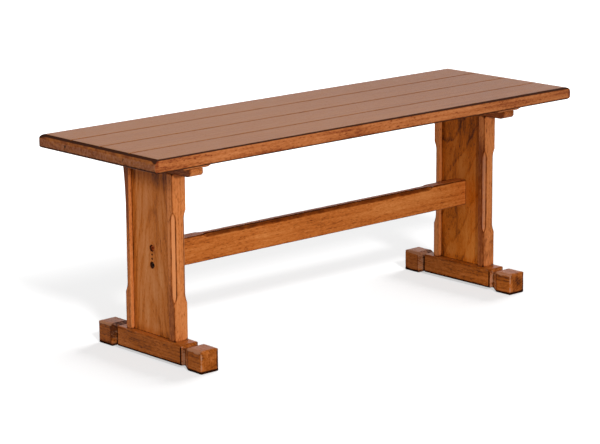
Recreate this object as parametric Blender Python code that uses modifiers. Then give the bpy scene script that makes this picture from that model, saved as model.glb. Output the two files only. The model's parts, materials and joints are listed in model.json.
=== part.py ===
"""Trestle bench: a four-board seat on two panelled legs with carved feet, and a bolted stretcher.

Metres. X runs along the bench, Y from its front to its back, Z up.
The origin lies on the floor, under the middle of the seat.
"""

import math

import bmesh
import bpy
from mathutils import Matrix, Vector

# Clearances and facets
FIT_GAP = 0.0003  # between faces that meet
OVERCUT = 0.003  # how far a cutter runs past the face that it cuts
ROUND_SIDES = 24  # sides of a fastener or a drilled hole
ARC_STEPS = 5  # straight steps in a rounded corner
SMOOTH_LIMIT = math.radians(35)  # edges that turn more are shaded sharp

# Seat: boards with a V joint on top, tongued and grooved below it
SEAT_LENGTH = 1.194
SEAT_DEPTH = 0.376
SEAT_HEIGHT = 0.457
BOARD_COUNT = 4
BOARD_THICKNESS = 0.0275
END_ROUND_WIDTH = 0.014  # round-over along the top of each end, seen from above
END_ROUND_DROP = 0.0105  # the same round-over, down the end
END_BOTTOM_ROUND = 0.007
EDGE_ROUND = 0.005  # along the top of the front and the back
EDGE_BOTTOM_ROUND = 0.004
JOINT_CHAMFER = 0.002
TONGUE_LENGTH = 0.007
TONGUE_THICKNESS = 0.008

# Cleat: the wide batten that is screwed under the boards
CLEAT_LENGTH = 0.276
CLEAT_WIDTH = 0.070
CLEAT_THICKNESS = 0.0165
CLEAT_BEVEL = 0.004

# Bolster: the narrow bar between a cleat and its leg
BOLSTER_LENGTH = 0.270
BOLSTER_WIDTH = 0.035
BOLSTER_HEIGHT = 0.016
BOLSTER_NOSE = 0.010

# Leg: two stiles that hold a recessed panel between them
LEG_INSET = 0.146  # from the seat's end to the middle of the leg
LEG_DEPTH = 0.158
STILE_WIDTH = 0.035
STILE_THICKNESS = 0.018
PANEL_THICKNESS = 0.018
PANEL_TONGUE = 0.006  # how deep the panel sits in a stile
TENON_WIDTH = 0.020
TENON_THICKNESS = 0.008
TENON_SHOULDER = 0.002  # from a stile's outer face to its tenon
FOOT_TENON_LENGTH = 0.025
BOLSTER_TENON_LENGTH = 0.009
STILE_CHAMFER = 0.007
STILE_CHAMFER_LENGTH = 0.195
STILE_CHAMFER_RUNOUT = 0.022

# Foot: a beam with a carved collar before each end block
FOOT_LENGTH = 0.336
FOOT_WIDTH = 0.0465
FOOT_HEIGHT = 0.0485
FOOT_BLOCK = 0.043
FOOT_ROUND = 0.005
COLLAR_SLOPE = 0.015  # from the end block down to the neck
COLLAR_NECK = 0.004
COLLAR_STEP = 0.004  # from the neck up to the middle of the foot
COLLAR_DEPTH = 0.006
FOOT_RELIEF = 0.006  # how high the middle of the foot clears the floor

# Stretcher
STRETCHER_HEIGHT = 0.057
STRETCHER_THICKNESS = 0.030
STRETCHER_CENTRE_Z = 0.212
STRETCHER_CHAMFER_WIDTH = 0.008
STRETCHER_CHAMFER_DROP = 0.006
STRETCHER_CHAMFER_INSET = 0.104  # from a panel to the end of the chamfer
STRETCHER_CHAMFER_RUNOUT = 0.020

# Bolts, cross nuts and locating pins between a panel and the stretcher
BOLT_SPACING = 0.0354
BOLT_DIAMETER = 0.006
BOLT_HEAD_DIAMETER = 0.010
BOLT_HEAD_HEIGHT = 0.005
BOLT_SOCKET_DIAMETER = 0.0058
BOLT_SOCKET_DEPTH = 0.003
BOLT_OVERRUN = 0.012  # how far a bolt passes the middle of its nut
COUNTERBORE_DIAMETER = 0.013
COUNTERBORE_DEPTH = 0.008
NUT_DIAMETER = 0.010
NUT_LENGTH = 0.020
NUT_SETBACK = 0.032  # from the stretcher's end to the middle of the nut
NUT_SLOT_WIDTH = 0.0015
NUT_SLOT_DEPTH = 0.0015
PIN_SPACING = 0.0088
PIN_DIAMETER = 0.004
PIN_LENGTH = 0.034
PIN_RECESS = 0.001

# Wood screws
SCREW_HEAD_DIAMETER = 0.0085
SCREW_HEAD_HEIGHT = 0.003
SCREW_DIAMETER = 0.0045
SCREW_POINT = 0.005
SCREW_RECESS = 0.0005
CLEAT_SCREW_BITE = 0.015  # into a seat board
BOLSTER_SCREW_BITE = 0.012  # into the cleat

# Levels and places that follow from the sizes
SEAT_BOTTOM = SEAT_HEIGHT - BOARD_THICKNESS
CLEAT_TOP = SEAT_BOTTOM - FIT_GAP
CLEAT_BOTTOM = CLEAT_TOP - CLEAT_THICKNESS
BOLSTER_TOP = CLEAT_BOTTOM - FIT_GAP
BOLSTER_BOTTOM = BOLSTER_TOP - BOLSTER_HEIGHT
LEG_TOP = BOLSTER_BOTTOM - FIT_GAP
LEG_BOTTOM = FOOT_HEIGHT + FIT_GAP
LEG_MIDDLE = (LEG_BOTTOM + LEG_TOP) / 2
LEG_HEIGHT = LEG_TOP - LEG_BOTTOM
BOARD_WIDTH = SEAT_DEPTH / BOARD_COUNT
TENON_Y = LEG_DEPTH / 2 - TENON_SHOULDER - TENON_THICKNESS / 2
LEG_X = SEAT_LENGTH / 2 - LEG_INSET
STRETCHER_END = PANEL_THICKNESS / 2 + FIT_GAP  # from the middle of a leg
STRETCHER_LENGTH = 2 * (LEG_X - STRETCHER_END)

ALONG_X = Vector((1, 0, 0))
ALONG_Z = Vector((0, 0, 1))
SIDE_VIEW = (math.pi / 2, 0, math.pi / 2)  # an outline's x and y become Y and Z
DOWNWARD = (math.pi, 0, 0)


# Scene, materials and objects


def clear_scene():
    for old in list(bpy.data.objects):
        bpy.data.objects.remove(old, do_unlink=True)


def new_collection(name):
    collection = bpy.data.collections.new(name)
    bpy.context.scene.collection.children.link(collection)
    return collection


def new_material(name, colour, roughness, metallic=0.0):
    material = bpy.data.materials.new(name)
    material.use_nodes = True
    shader = material.node_tree.nodes["Principled BSDF"]
    shader.inputs["Base Color"].default_value = (*colour, 1)
    shader.inputs["Roughness"].default_value = roughness
    shader.inputs["Metallic"].default_value = metallic
    material.diffuse_color = (*colour, 1)
    return material


def new_empty(name, location):
    empty = bpy.data.objects.new(name, None)
    empty.location = location
    BENCH.objects.link(empty)
    return empty


def as_part(name, mesh, material, parent=None, location=(0, 0, 0), rotation=(0, 0, 0)):
    """A piece of the bench."""
    part = bpy.data.objects.new(name, mesh)
    part.parent = parent
    part.location = location
    part.rotation_euler = rotation
    mesh.materials.append(material)
    BENCH.objects.link(part)
    return part


def as_cutter(mesh, parent=None, location=(0, 0, 0), rotation=(0, 0, 0)):
    """A shape that other pieces are cut with, left out of the bench."""
    cutter = bpy.data.objects.new(mesh.name, mesh)
    cutter.parent = parent
    cutter.location = location
    cutter.rotation_euler = rotation
    cutter.hide_render = True
    cutter.display_type = "WIRE"
    CUTTERS.objects.link(cutter)
    return cutter


def combine(part, tool, operation="DIFFERENCE"):
    boolean = part.modifiers.new(f"{operation.lower()} {tool.name}", "BOOLEAN")
    boolean.operation = operation
    boolean.object = tool


def smooth_by_angle():
    """A node group that shades faces smooth, but for edges that turn more than the limit."""
    group = bpy.data.node_groups.new("smooth by angle", "GeometryNodeTree")
    group.interface.new_socket("Geometry", in_out="INPUT", socket_type="NodeSocketGeometry")
    group.interface.new_socket("Geometry", in_out="OUTPUT", socket_type="NodeSocketGeometry")
    group.is_modifier = True
    start = group.nodes.new("NodeGroupInput")
    angle = group.nodes.new("GeometryNodeInputMeshEdgeAngle")
    sharp = group.nodes.new("FunctionNodeCompare")
    sharp.operation = "GREATER_THAN"
    sharp.inputs[1].default_value = SMOOTH_LIMIT
    smooth_faces = group.nodes.new("GeometryNodeSetShadeSmooth")
    sharp_edges = group.nodes.new("GeometryNodeSetShadeSmooth")
    sharp_edges.domain = "EDGE"
    sharp_edges.inputs["Shade Smooth"].default_value = False
    end = group.nodes.new("NodeGroupOutput")
    group.links.new(start.outputs[0], smooth_faces.inputs["Geometry"])
    group.links.new(smooth_faces.outputs[0], sharp_edges.inputs["Geometry"])
    group.links.new(angle.outputs["Unsigned Angle"], sharp.inputs[0])
    group.links.new(sharp.outputs[0], sharp_edges.inputs["Selection"])
    group.links.new(sharp_edges.outputs[0], end.inputs[0])
    return group


def shade_all():
    """Shades every piece by the angles of its finished edges."""
    group = smooth_by_angle()
    for part in BENCH.objects:
        if part.type == "MESH":
            part.modifiers.new("shading", "NODES").node_group = group


# Shapes


def finished(name, shape):
    """A mesh from a bmesh, with its faces pointing out."""
    bmesh.ops.recalc_face_normals(shape, faces=shape.faces)
    mesh = bpy.data.meshes.new(name)
    shape.to_mesh(mesh)
    shape.free()
    return mesh


def box(name, size, centre=(0, 0, 0)):
    shape = bmesh.new()
    bmesh.ops.create_cube(shape, size=1)
    bmesh.ops.scale(shape, vec=size, verts=shape.verts)
    bmesh.ops.translate(shape, vec=centre, verts=shape.verts)
    return finished(name, shape)


def rod(name, diameter, start, end, sides=ROUND_SIDES):
    """A round or many-sided bar from one point to another, turned half a side round."""
    start, end = Vector(start), Vector(end)
    turn = ALONG_Z.rotation_difference(end - start).to_matrix().to_4x4()
    turn @= Matrix.Rotation(math.pi / sides, 4, "Z")
    shape = bmesh.new()
    bmesh.ops.create_cone(
        shape,
        cap_ends=True,
        segments=sides,
        radius1=diameter / 2,
        radius2=diameter / 2,
        depth=(end - start).length,
        matrix=Matrix.Translation((start + end) / 2) @ turn,
    )
    return finished(name, shape)


def loft(name, rings):
    """A solid through rings of points, each with as many points, capped at both ends."""
    shape = bmesh.new()
    loops = [[shape.verts.new(point) for point in ring] for ring in rings]
    for low, high in zip(loops, loops[1:]):
        for i in range(len(low)):
            j = (i + 1) % len(low)
            shape.faces.new((low[i], low[j], high[j], high[i]))
    shape.faces.new(loops[0])
    shape.faces.new(loops[-1])
    return finished(name, shape)


def extruded(name, outline, thickness):
    """A flat outline made thick, half to each side of its plane."""
    curve = bpy.data.curves.new(name, "CURVE")
    curve.dimensions = "2D"
    curve.fill_mode = "BOTH"
    curve.extrude = thickness / 2
    spline = curve.splines.new("POLY")
    spline.points.add(len(outline) - 1)
    for point, (x, y) in zip(spline.points, outline):
        point.co = (x, y, 0, 1)
    spline.use_cyclic_u = True
    guide = bpy.data.objects.new(name, curve)
    bpy.context.scene.collection.objects.link(guide)
    evaluated = guide.evaluated_get(bpy.context.evaluated_depsgraph_get())
    mesh = bpy.data.meshes.new_from_object(evaluated)
    shape = bmesh.new()
    shape.from_mesh(mesh)
    bmesh.ops.remove_doubles(shape, verts=shape.verts, dist=1e-6)
    bpy.data.objects.remove(guide, do_unlink=True)
    bpy.data.meshes.remove(mesh)
    return finished(name, shape)


def turned(name, profile):
    """A profile of radii and heights, from the top down, as an open line for a Screw modifier."""
    across, aside = math.cos(math.pi / ROUND_SIDES), math.sin(math.pi / ROUND_SIDES)
    shape = bmesh.new()
    points = [shape.verts.new((radius * across, radius * aside, height)) for radius, height in profile]
    for upper, lower in zip(points, points[1:]):
        shape.edges.new((upper, lower))
    mesh = bpy.data.meshes.new(name)
    shape.to_mesh(mesh)
    shape.free()
    return mesh


def spin(part):
    """Turns a profile into a solid of revolution about its own Z."""
    screw = part.modifiers.new("turn", "SCREW")
    screw.steps = ROUND_SIDES
    screw.render_steps = ROUND_SIDES
    screw.use_merge_vertices = True
    screw.merge_threshold = 1e-6
    screw.use_smooth_shade = False


def quarter_round(steps=ARC_STEPS):
    """(sine, cosine) pairs from 0 to 90 degrees."""
    angles = [math.pi / 2 * i / steps for i in range(steps + 1)]
    return [(math.sin(a), math.cos(a)) for a in angles]


def rectangle(length, depth, z):
    """A ring of four corners at one height."""
    return [
        (sx * length / 2, sy * depth / 2, z)
        for sx, sy in ((-1, -1), (1, -1), (1, 1), (-1, 1))
    ]


def upright_ring(y, half_width, bottom, top, corner):
    """A round-cornered ring across the foot, in the plane at y."""
    ring = []
    centres = (
        (half_width - corner, bottom + corner, -math.pi / 2),
        (half_width - corner, top - corner, 0),
        (corner - half_width, top - corner, math.pi / 2),
        (corner - half_width, bottom + corner, math.pi),
    )
    for x, z, start in centres:
        for i in range(ARC_STEPS):
            angle = start + math.pi / 2 * i / (ARC_STEPS - 1)
            ring.append((x + corner * math.cos(angle), y, z + corner * math.sin(angle)))
    return ring


def chamfer_outline(depth, length, runout):
    """The scoop of a stopped chamfer: flat at full depth, with an arc that runs out at each end."""
    radius = (depth**2 + runout**2) / (2 * depth)
    widest = math.acos(1 - (depth + OVERCUT) / radius)
    angles = [widest * i / ARC_STEPS for i in range(ARC_STEPS + 1)]
    scoop = [
        (radius * (1 - math.cos(a)) - depth, length / 2 - runout + radius * math.sin(a))
        for a in angles
    ]
    return scoop + [(x, -y) for x, y in reversed(scoop)]


def stopped_chamfer(name, arris, along, legs, length, runout, parent=None):
    """Cutter for a stopped chamfer on an arris: legs are the two vectors from it to the chamfer's edges."""
    first, second = (Vector(leg) for leg in legs)
    depth = first.length * second.length / (first - second).length
    outward = -(first / first.length_squared + second / second.length_squared).normalized()
    side = outward.cross(along)
    frame = Matrix((outward, along, side)).transposed()
    span = 2 * (first - second).length + 2 * OVERCUT
    mesh = extruded(name, chamfer_outline(depth, length, runout), span)
    return as_cutter(mesh, parent, arris, frame.to_euler())


# Seat


def round_inset(drop, width, height):
    """How far a rounded edge lies inside the seat's outline, at a drop from the face that it rounds."""
    rest = max(0.0, 1 - drop / height)
    return width * (1 - math.sqrt(1 - rest**2))


def seat_slab():
    """The whole seat with its rounded edges, as the shape that every board is kept inside."""
    rings = []
    rises = {END_BOTTOM_ROUND * (1 - sine) for sine, cosine in quarter_round()}
    for rise in sorted(rises | {EDGE_BOTTOM_ROUND}):
        length = SEAT_LENGTH - 2 * round_inset(rise, END_BOTTOM_ROUND, END_BOTTOM_ROUND)
        depth = SEAT_DEPTH - 2 * round_inset(rise, EDGE_BOTTOM_ROUND, EDGE_BOTTOM_ROUND)
        rings.append(rectangle(length, depth, SEAT_BOTTOM + rise))
    drops = {END_ROUND_DROP * (1 - sine) for sine, cosine in quarter_round()}
    for drop in sorted(drops | {EDGE_ROUND}, reverse=True):
        length = SEAT_LENGTH - 2 * round_inset(drop, END_ROUND_WIDTH, END_ROUND_DROP)
        depth = SEAT_DEPTH - 2 * round_inset(drop, EDGE_ROUND, EDGE_ROUND)
        rings.append(rectangle(length, depth, SEAT_HEIGHT - drop))
    return as_cutter(loft("seat_slab", rings))


def board_outline(front, back, grooved, tongued):
    """A board's section in Y and Z, running past the slab above, below and at the seat's edges."""
    low, high = SEAT_BOTTOM - OVERCUT, SEAT_HEIGHT + OVERCUT
    tongue_low = SEAT_BOTTOM + (BOARD_THICKNESS - TONGUE_THICKNESS) / 2
    tongue_high = tongue_low + TONGUE_THICKNESS
    v_bottom = SEAT_HEIGHT - JOINT_CHAMFER
    v_spread = JOINT_CHAMFER + OVERCUT
    outline = [(front, low), (back, low)]
    if tongued:
        outline += [
            (back, tongue_low),
            (back + TONGUE_LENGTH, tongue_low),
            (back + TONGUE_LENGTH, tongue_high),
            (back, tongue_high),
            (back, v_bottom),
            (back - v_spread, high),
        ]
    else:
        outline += [(back, high)]
    if grooved:
        outline += [
            (front + v_spread, high),
            (front, v_bottom),
            (front, tongue_high + FIT_GAP),
            (front + TONGUE_LENGTH, tongue_high + FIT_GAP),
            (front + TONGUE_LENGTH, tongue_low - FIT_GAP),
            (front, tongue_low - FIT_GAP),
        ]
    else:
        outline += [(front, high)]
    return outline


def make_seat():
    """The boards, numbered from the front."""
    slab = seat_slab()
    boards = []
    for i in range(BOARD_COUNT):
        first, last = i == 0, i == BOARD_COUNT - 1
        front = i * BOARD_WIDTH - SEAT_DEPTH / 2 + (-OVERCUT if first else FIT_GAP / 2)
        back = (i + 1) * BOARD_WIDTH - SEAT_DEPTH / 2 + (OVERCUT if last else -FIT_GAP / 2)
        outline = board_outline(front, back, grooved=not first, tongued=not last)
        name = f"seat_board_{i + 1}"
        mesh = extruded(name, outline, SEAT_LENGTH + 2 * OVERCUT)
        board = as_part(name, mesh, SEAT_WOOD, rotation=SIDE_VIEW)
        combine(board, slab, "INTERSECT")
        boards.append(board)
    return boards


# Fasteners


def screw_profile(grip, bite):
    """A countersunk wood screw, head up, with its head's face at height zero."""
    head, shank = SCREW_HEAD_DIAMETER / 2, SCREW_DIAMETER / 2
    end = -(grip + bite)
    return [(0, 0), (head, 0), (shank, -SCREW_HEAD_HEIGHT), (shank, end + SCREW_POINT), (0, end)]


def screw_hole_profile(grip, bite):
    """The hole for the same screw, a gap wider all round and open past its head."""
    head, shank = SCREW_HEAD_DIAMETER / 2 + FIT_GAP, SCREW_DIAMETER / 2 + FIT_GAP
    end = -(grip + bite + FIT_GAP)
    mouth = SCREW_RECESS + OVERCUT
    return [(0, mouth), (head, mouth), (head, 0), (shank, -SCREW_HEAD_HEIGHT), (shank, end), (0, end)]


def drive_screw(name, place, grip, bite, pieces, parent):
    """A screw driven up from below at place, with its hole through the pieces that it holds."""
    x, y, surface = place
    location = (x, y, surface + SCREW_RECESS)
    reach = grip - SCREW_RECESS
    screw = as_part(name, turned(name, screw_profile(reach, bite)), DARK_STEEL, parent, location, DOWNWARD)
    spin(screw)
    hole_mesh = turned(f"{name}_hole", screw_hole_profile(reach, bite))
    hole = as_cutter(hole_mesh, parent, location, DOWNWARD)
    spin(hole)
    for piece in pieces:
        combine(piece, hole)


def bolt_hole_profile(length):
    """A stepped hole: a counterbore above height zero, and the shank's clearance below it."""
    bore, shank = COUNTERBORE_DIAMETER / 2, BOLT_DIAMETER / 2 + FIT_GAP
    mouth, end = COUNTERBORE_DEPTH + OVERCUT, -(length + FIT_GAP)
    return [(0, mouth), (bore, mouth), (bore, 0), (shank, 0), (shank, end), (0, end)]


def make_bolt(name, seat, outward, length, parent):
    """A socket-head bolt whose head bears on seat and points outward."""
    head, shank, top = BOLT_HEAD_DIAMETER / 2, BOLT_DIAMETER / 2, BOLT_HEAD_HEIGHT
    profile = [(0, top), (head, top), (head, 0), (shank, 0), (shank, -length), (0, -length)]
    rotation = (0, outward * math.pi / 2, 0)
    bolt = as_part(name, turned(name, profile), DARK_STEEL, parent, seat, rotation)
    spin(bolt)
    socket = rod(
        f"{name}_socket",
        BOLT_SOCKET_DIAMETER,
        (0, 0, top - BOLT_SOCKET_DEPTH),
        (0, 0, top + OVERCUT),
        sides=6,
    )
    combine(bolt, as_cutter(socket, parent, seat, rotation))


def make_nut(name, place, bolt_hole, parent):
    """A cross nut: a short bar along Y with a hole across it and a slot in its back end."""
    x, y, z = place
    half = NUT_LENGTH / 2
    mesh = rod(name, NUT_DIAMETER, (x, y - half, z), (x, y + half, z))
    nut = as_part(name, mesh, ZINC_STEEL, parent)
    combine(nut, bolt_hole)
    slot_size = (NUT_SLOT_WIDTH, NUT_SLOT_DEPTH + OVERCUT, NUT_DIAMETER + 2 * OVERCUT)
    slot_centre = (x, y + half + (OVERCUT - NUT_SLOT_DEPTH) / 2, z)
    combine(nut, as_cutter(box(f"{name}_slot", slot_size, slot_centre), parent))


# Leg frames


def tenon_socket(name, parent, y, face, depth, toward):
    """Cutter for the mortise of a stile's tenon, depth deep from a face, toward +Z or -Z."""
    size = (
        TENON_WIDTH + 2 * FIT_GAP,
        TENON_THICKNESS + 2 * FIT_GAP,
        depth + OVERCUT,
    )
    centre = (0, y, face + toward * (depth - OVERCUT) / 2)
    return as_cutter(box(name, size, centre), parent)


def make_foot(side, leg):
    """The foot, carved along Y: end blocks, collars cut in by a slope, and a middle clear of the floor."""
    half = FOOT_LENGTH / 2
    block = half - FOOT_BLOCK
    neck_out = block - COLLAR_SLOPE
    neck_in = neck_out - COLLAR_NECK
    middle = neck_in - COLLAR_STEP
    stations = [
        (middle, 0, FOOT_RELIEF),
        (neck_in, COLLAR_DEPTH, FOOT_RELIEF),
        (neck_out, COLLAR_DEPTH, FOOT_RELIEF),
        (block, 0, 0),
    ]
    rings = []
    for y, inset, bottom in stations:
        rings.append(upright_ring(y, FOOT_WIDTH / 2 - inset, bottom, FOOT_HEIGHT - inset, FOOT_ROUND))
    for sine, cosine in quarter_round():
        inset = FOOT_ROUND * (1 - cosine)
        y = half - FOOT_ROUND * (1 - sine)
        corner = FOOT_ROUND - inset + FIT_GAP
        rings.append(upright_ring(y, FOOT_WIDTH / 2 - inset, inset, FOOT_HEIGHT - inset, corner))
    mirrored = [[(x, -y, z) for x, y, z in ring] for ring in reversed(rings)]
    foot = as_part(f"foot_{side}", loft(f"foot_{side}", mirrored + rings), FOOT_WOOD, leg)
    for face, toward in (("front", -1), ("back", 1)):
        name = f"foot_mortise_{side}_{face}"
        combine(foot, tenon_socket(name, leg, toward * TENON_Y, FOOT_HEIGHT, FOOT_TENON_LENGTH, -1))
    return foot


def make_stile(side, face, toward, leg):
    """An edge board of the leg: tenons at both ends, a groove for the panel and two stopped chamfers."""
    name = f"leg_stile_{side}_{face}"
    outer = toward * LEG_DEPTH / 2
    inner = toward * (LEG_DEPTH / 2 - STILE_THICKNESS)
    body = box(name, (STILE_WIDTH, STILE_THICKNESS, LEG_HEIGHT), (0, (outer + inner) / 2, LEG_MIDDLE))
    stile = as_part(name, body, LEG_WOOD, leg)
    bar_length = LEG_HEIGHT + FOOT_TENON_LENGTH + BOLSTER_TENON_LENGTH - 2 * FIT_GAP
    bar_middle = LEG_MIDDLE + (BOLSTER_TENON_LENGTH - FOOT_TENON_LENGTH) / 2
    bar_size = (TENON_WIDTH, TENON_THICKNESS, bar_length)
    bar = box(f"{name}_tenons", bar_size, (0, toward * TENON_Y, bar_middle))
    combine(stile, as_cutter(bar, leg), "UNION")
    groove_size = (PANEL_THICKNESS + 2 * FIT_GAP, PANEL_TONGUE + OVERCUT, LEG_HEIGHT + 2 * OVERCUT)
    groove_centre = (0, inner + toward * (PANEL_TONGUE - OVERCUT) / 2, LEG_MIDDLE)
    combine(stile, as_cutter(box(f"{name}_groove", groove_size, groove_centre), leg))
    for edge in (-1, 1):
        legs = ((-edge * STILE_CHAMFER, 0, 0), (0, -toward * STILE_CHAMFER, 0))
        cutter = stopped_chamfer(
            f"{name}_chamfer",
            (edge * STILE_WIDTH / 2, outer, LEG_MIDDLE),
            ALONG_Z,
            legs,
            STILE_CHAMFER_LENGTH,
            STILE_CHAMFER_RUNOUT,
            leg,
        )
        combine(stile, cutter)


def make_panel(side, leg):
    """The board between the stiles, held in their grooves."""
    width = LEG_DEPTH - 2 * STILE_THICKNESS + 2 * PANEL_TONGUE - 2 * FIT_GAP
    size = (PANEL_THICKNESS, width, LEG_HEIGHT)
    return as_part(f"leg_panel_{side}", box(f"leg_panel_{side}", size, (0, 0, LEG_MIDDLE)), PANEL_WOOD, leg)


def make_bolster(side, leg):
    """The bar that lies on the stiles, with its lower ends rounded off."""
    half = BOLSTER_LENGTH / 2
    nose = [
        (half - BOLSTER_NOSE * (1 - sine), BOLSTER_BOTTOM + BOLSTER_NOSE * (1 - cosine))
        for sine, cosine in quarter_round()
    ]
    right = nose + [(half, BOLSTER_TOP)]
    outline = right + [(-y, z) for y, z in reversed(right)]
    name = f"bolster_{side}"
    bolster = as_part(name, extruded(name, outline, BOLSTER_WIDTH), LEG_WOOD, leg, rotation=SIDE_VIEW)
    for face, toward in (("front", -1), ("back", 1)):
        mortise = f"bolster_mortise_{side}_{face}"
        y = toward * TENON_Y
        combine(bolster, tenon_socket(mortise, leg, y, BOLSTER_BOTTOM, BOLSTER_TENON_LENGTH, 1))
    return bolster


def make_cleat(side, leg):
    """The flat batten over the bolster, bevelled along its lower edges."""
    rings = [
        rectangle(CLEAT_WIDTH - 2 * CLEAT_BEVEL, CLEAT_LENGTH - 2 * CLEAT_BEVEL, CLEAT_BOTTOM),
        rectangle(CLEAT_WIDTH, CLEAT_LENGTH, CLEAT_BOTTOM + CLEAT_BEVEL),
        rectangle(CLEAT_WIDTH, CLEAT_LENGTH, CLEAT_TOP),
    ]
    return as_part(f"cleat_{side}", loft(f"cleat_{side}", rings), LEG_WOOD, leg)


def screw_cleat(side, leg, outward, cleat, boards):
    """One screw into each board, in turn on either side of the bolster."""
    flange = (BOLSTER_WIDTH + CLEAT_WIDTH) / 4
    for i, board in enumerate(boards):
        front = max(i * BOARD_WIDTH - SEAT_DEPTH / 2, -CLEAT_LENGTH / 2)
        back = min((i + 1) * BOARD_WIDTH - SEAT_DEPTH / 2, CLEAT_LENGTH / 2)
        place = (outward * flange * (-1) ** i, (front + back) / 2, CLEAT_BOTTOM)
        name = f"cleat_screw_{side}_{i + 1}"
        drive_screw(name, place, CLEAT_THICKNESS + FIT_GAP, CLEAT_SCREW_BITE, (cleat, board), leg)


def screw_bolster(side, leg, bolster, cleat):
    """A screw near each end of the bolster, clear of the leg, up into the cleat."""
    y = (LEG_DEPTH / 2 + BOLSTER_LENGTH / 2 - BOLSTER_NOSE) / 2
    for face, toward in (("front", -1), ("back", 1)):
        name = f"bolster_screw_{side}_{face}"
        place = (0, toward * y, BOLSTER_BOTTOM)
        drive_screw(name, place, BOLSTER_HEIGHT + FIT_GAP, BOLSTER_SCREW_BITE, (bolster, cleat), leg)


def fasten_stretcher(side, leg, outward, panel, stretcher):
    """Two bolts with cross nuts and two locating pins, through a panel into the stretcher's end."""
    panel_face = outward * PANEL_THICKNESS / 2
    seat = panel_face - outward * COUNTERBORE_DEPTH
    stretcher_end = -outward * STRETCHER_END
    nut_x = stretcher_end - outward * NUT_SETBACK
    bolt_end = nut_x - outward * BOLT_OVERRUN
    for level, up in (("lower", -1), ("upper", 1)):
        z = STRETCHER_CENTRE_Z + up * BOLT_SPACING / 2
        name = f"stretcher_bolt_{side}_{level}"
        bearing = seat + outward * FIT_GAP
        make_bolt(name, (bearing, 0, z), outward, abs(bearing - bolt_end), leg)
        hole_mesh = turned(f"{name}_hole", bolt_hole_profile(abs(seat - bolt_end)))
        hole = as_cutter(hole_mesh, leg, (seat, 0, z), (0, outward * math.pi / 2, 0))
        spin(hole)
        combine(panel, hole)
        combine(stretcher, hole)
        nut_name = f"stretcher_nut_{side}_{level}"
        floor = -NUT_LENGTH / 2 - FIT_GAP
        rim = STRETCHER_THICKNESS / 2 + OVERCUT
        pocket = rod(f"{nut_name}_pocket", NUT_DIAMETER + 2 * FIT_GAP, (nut_x, floor, z), (nut_x, rim, z))
        combine(stretcher, as_cutter(pocket, leg))
        make_nut(nut_name, (nut_x, 0, z), hole, leg)
    for level, up in (("lower", -1), ("upper", 1)):
        z = STRETCHER_CENTRE_Z + up * PIN_SPACING / 2
        name = f"stretcher_pin_{side}_{level}"
        start = panel_face - outward * PIN_RECESS
        end = start - outward * PIN_LENGTH
        as_part(name, rod(name, PIN_DIAMETER, (start, 0, z), (end, 0, z)), DARK_STEEL, leg)
        mouth, far = panel_face + outward * OVERCUT, end - outward * FIT_GAP
        hole = as_cutter(rod(f"{name}_hole", PIN_DIAMETER + 2 * FIT_GAP, (mouth, 0, z), (far, 0, z)), leg)
        combine(panel, hole)
        combine(stretcher, hole)


def make_stretcher():
    """The rail between the panels, with a stopped chamfer along each top arris."""
    size = (STRETCHER_LENGTH, STRETCHER_THICKNESS, STRETCHER_HEIGHT)
    mesh = box("stretcher", size, (0, 0, STRETCHER_CENTRE_Z))
    stretcher = as_part("stretcher", mesh, LEG_WOOD)
    for face, toward in (("front", -1), ("back", 1)):
        arris = (0, toward * STRETCHER_THICKNESS / 2, STRETCHER_CENTRE_Z + STRETCHER_HEIGHT / 2)
        legs = ((0, -toward * STRETCHER_CHAMFER_WIDTH, 0), (0, 0, -STRETCHER_CHAMFER_DROP))
        length = STRETCHER_LENGTH - 2 * STRETCHER_CHAMFER_INSET
        name = f"stretcher_chamfer_{face}"
        cutter = stopped_chamfer(name, arris, ALONG_X, legs, length, STRETCHER_CHAMFER_RUNOUT)
        combine(stretcher, cutter)
    return stretcher


def make_bench():
    boards = make_seat()
    stretcher = make_stretcher()
    for side, outward in (("left", -1), ("right", 1)):
        leg = new_empty(f"leg_{side}", (outward * LEG_X, 0, 0))
        make_foot(side, leg)
        for face, toward in (("front", -1), ("back", 1)):
            make_stile(side, face, toward, leg)
        panel = make_panel(side, leg)
        bolster = make_bolster(side, leg)
        cleat = make_cleat(side, leg)
        screw_cleat(side, leg, outward, cleat, boards)
        screw_bolster(side, leg, bolster, cleat)
        fasten_stretcher(side, leg, outward, panel, stretcher)
    shade_all()


clear_scene()
BENCH = new_collection("trestle_bench")
CUTTERS = new_collection("cutters")
CUTTERS.hide_render = True
SEAT_WOOD = new_material("seat_wood", (0.40, 0.16, 0.055), 0.38)
LEG_WOOD = new_material("leg_wood", (0.42, 0.165, 0.055), 0.42)
PANEL_WOOD = new_material("panel_wood", (0.31, 0.12, 0.038), 0.42)
FOOT_WOOD = new_material("foot_wood", (0.22, 0.078, 0.025), 0.40)
DARK_STEEL = new_material("dark_steel", (0.05, 0.04, 0.035), 0.45, 1.0)
ZINC_STEEL = new_material("zinc_steel", (0.55, 0.55, 0.54), 0.35, 1.0)
make_bench()
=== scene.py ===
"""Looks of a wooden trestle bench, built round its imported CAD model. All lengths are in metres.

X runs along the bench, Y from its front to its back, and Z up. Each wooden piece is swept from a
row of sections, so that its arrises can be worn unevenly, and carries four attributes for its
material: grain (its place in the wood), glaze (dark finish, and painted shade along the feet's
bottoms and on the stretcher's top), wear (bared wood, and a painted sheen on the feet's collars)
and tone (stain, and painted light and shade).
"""

import json
import math
from typing import NamedTuple

import bmesh
import bpy
from mathutils import Matrix, Vector, noise

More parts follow.
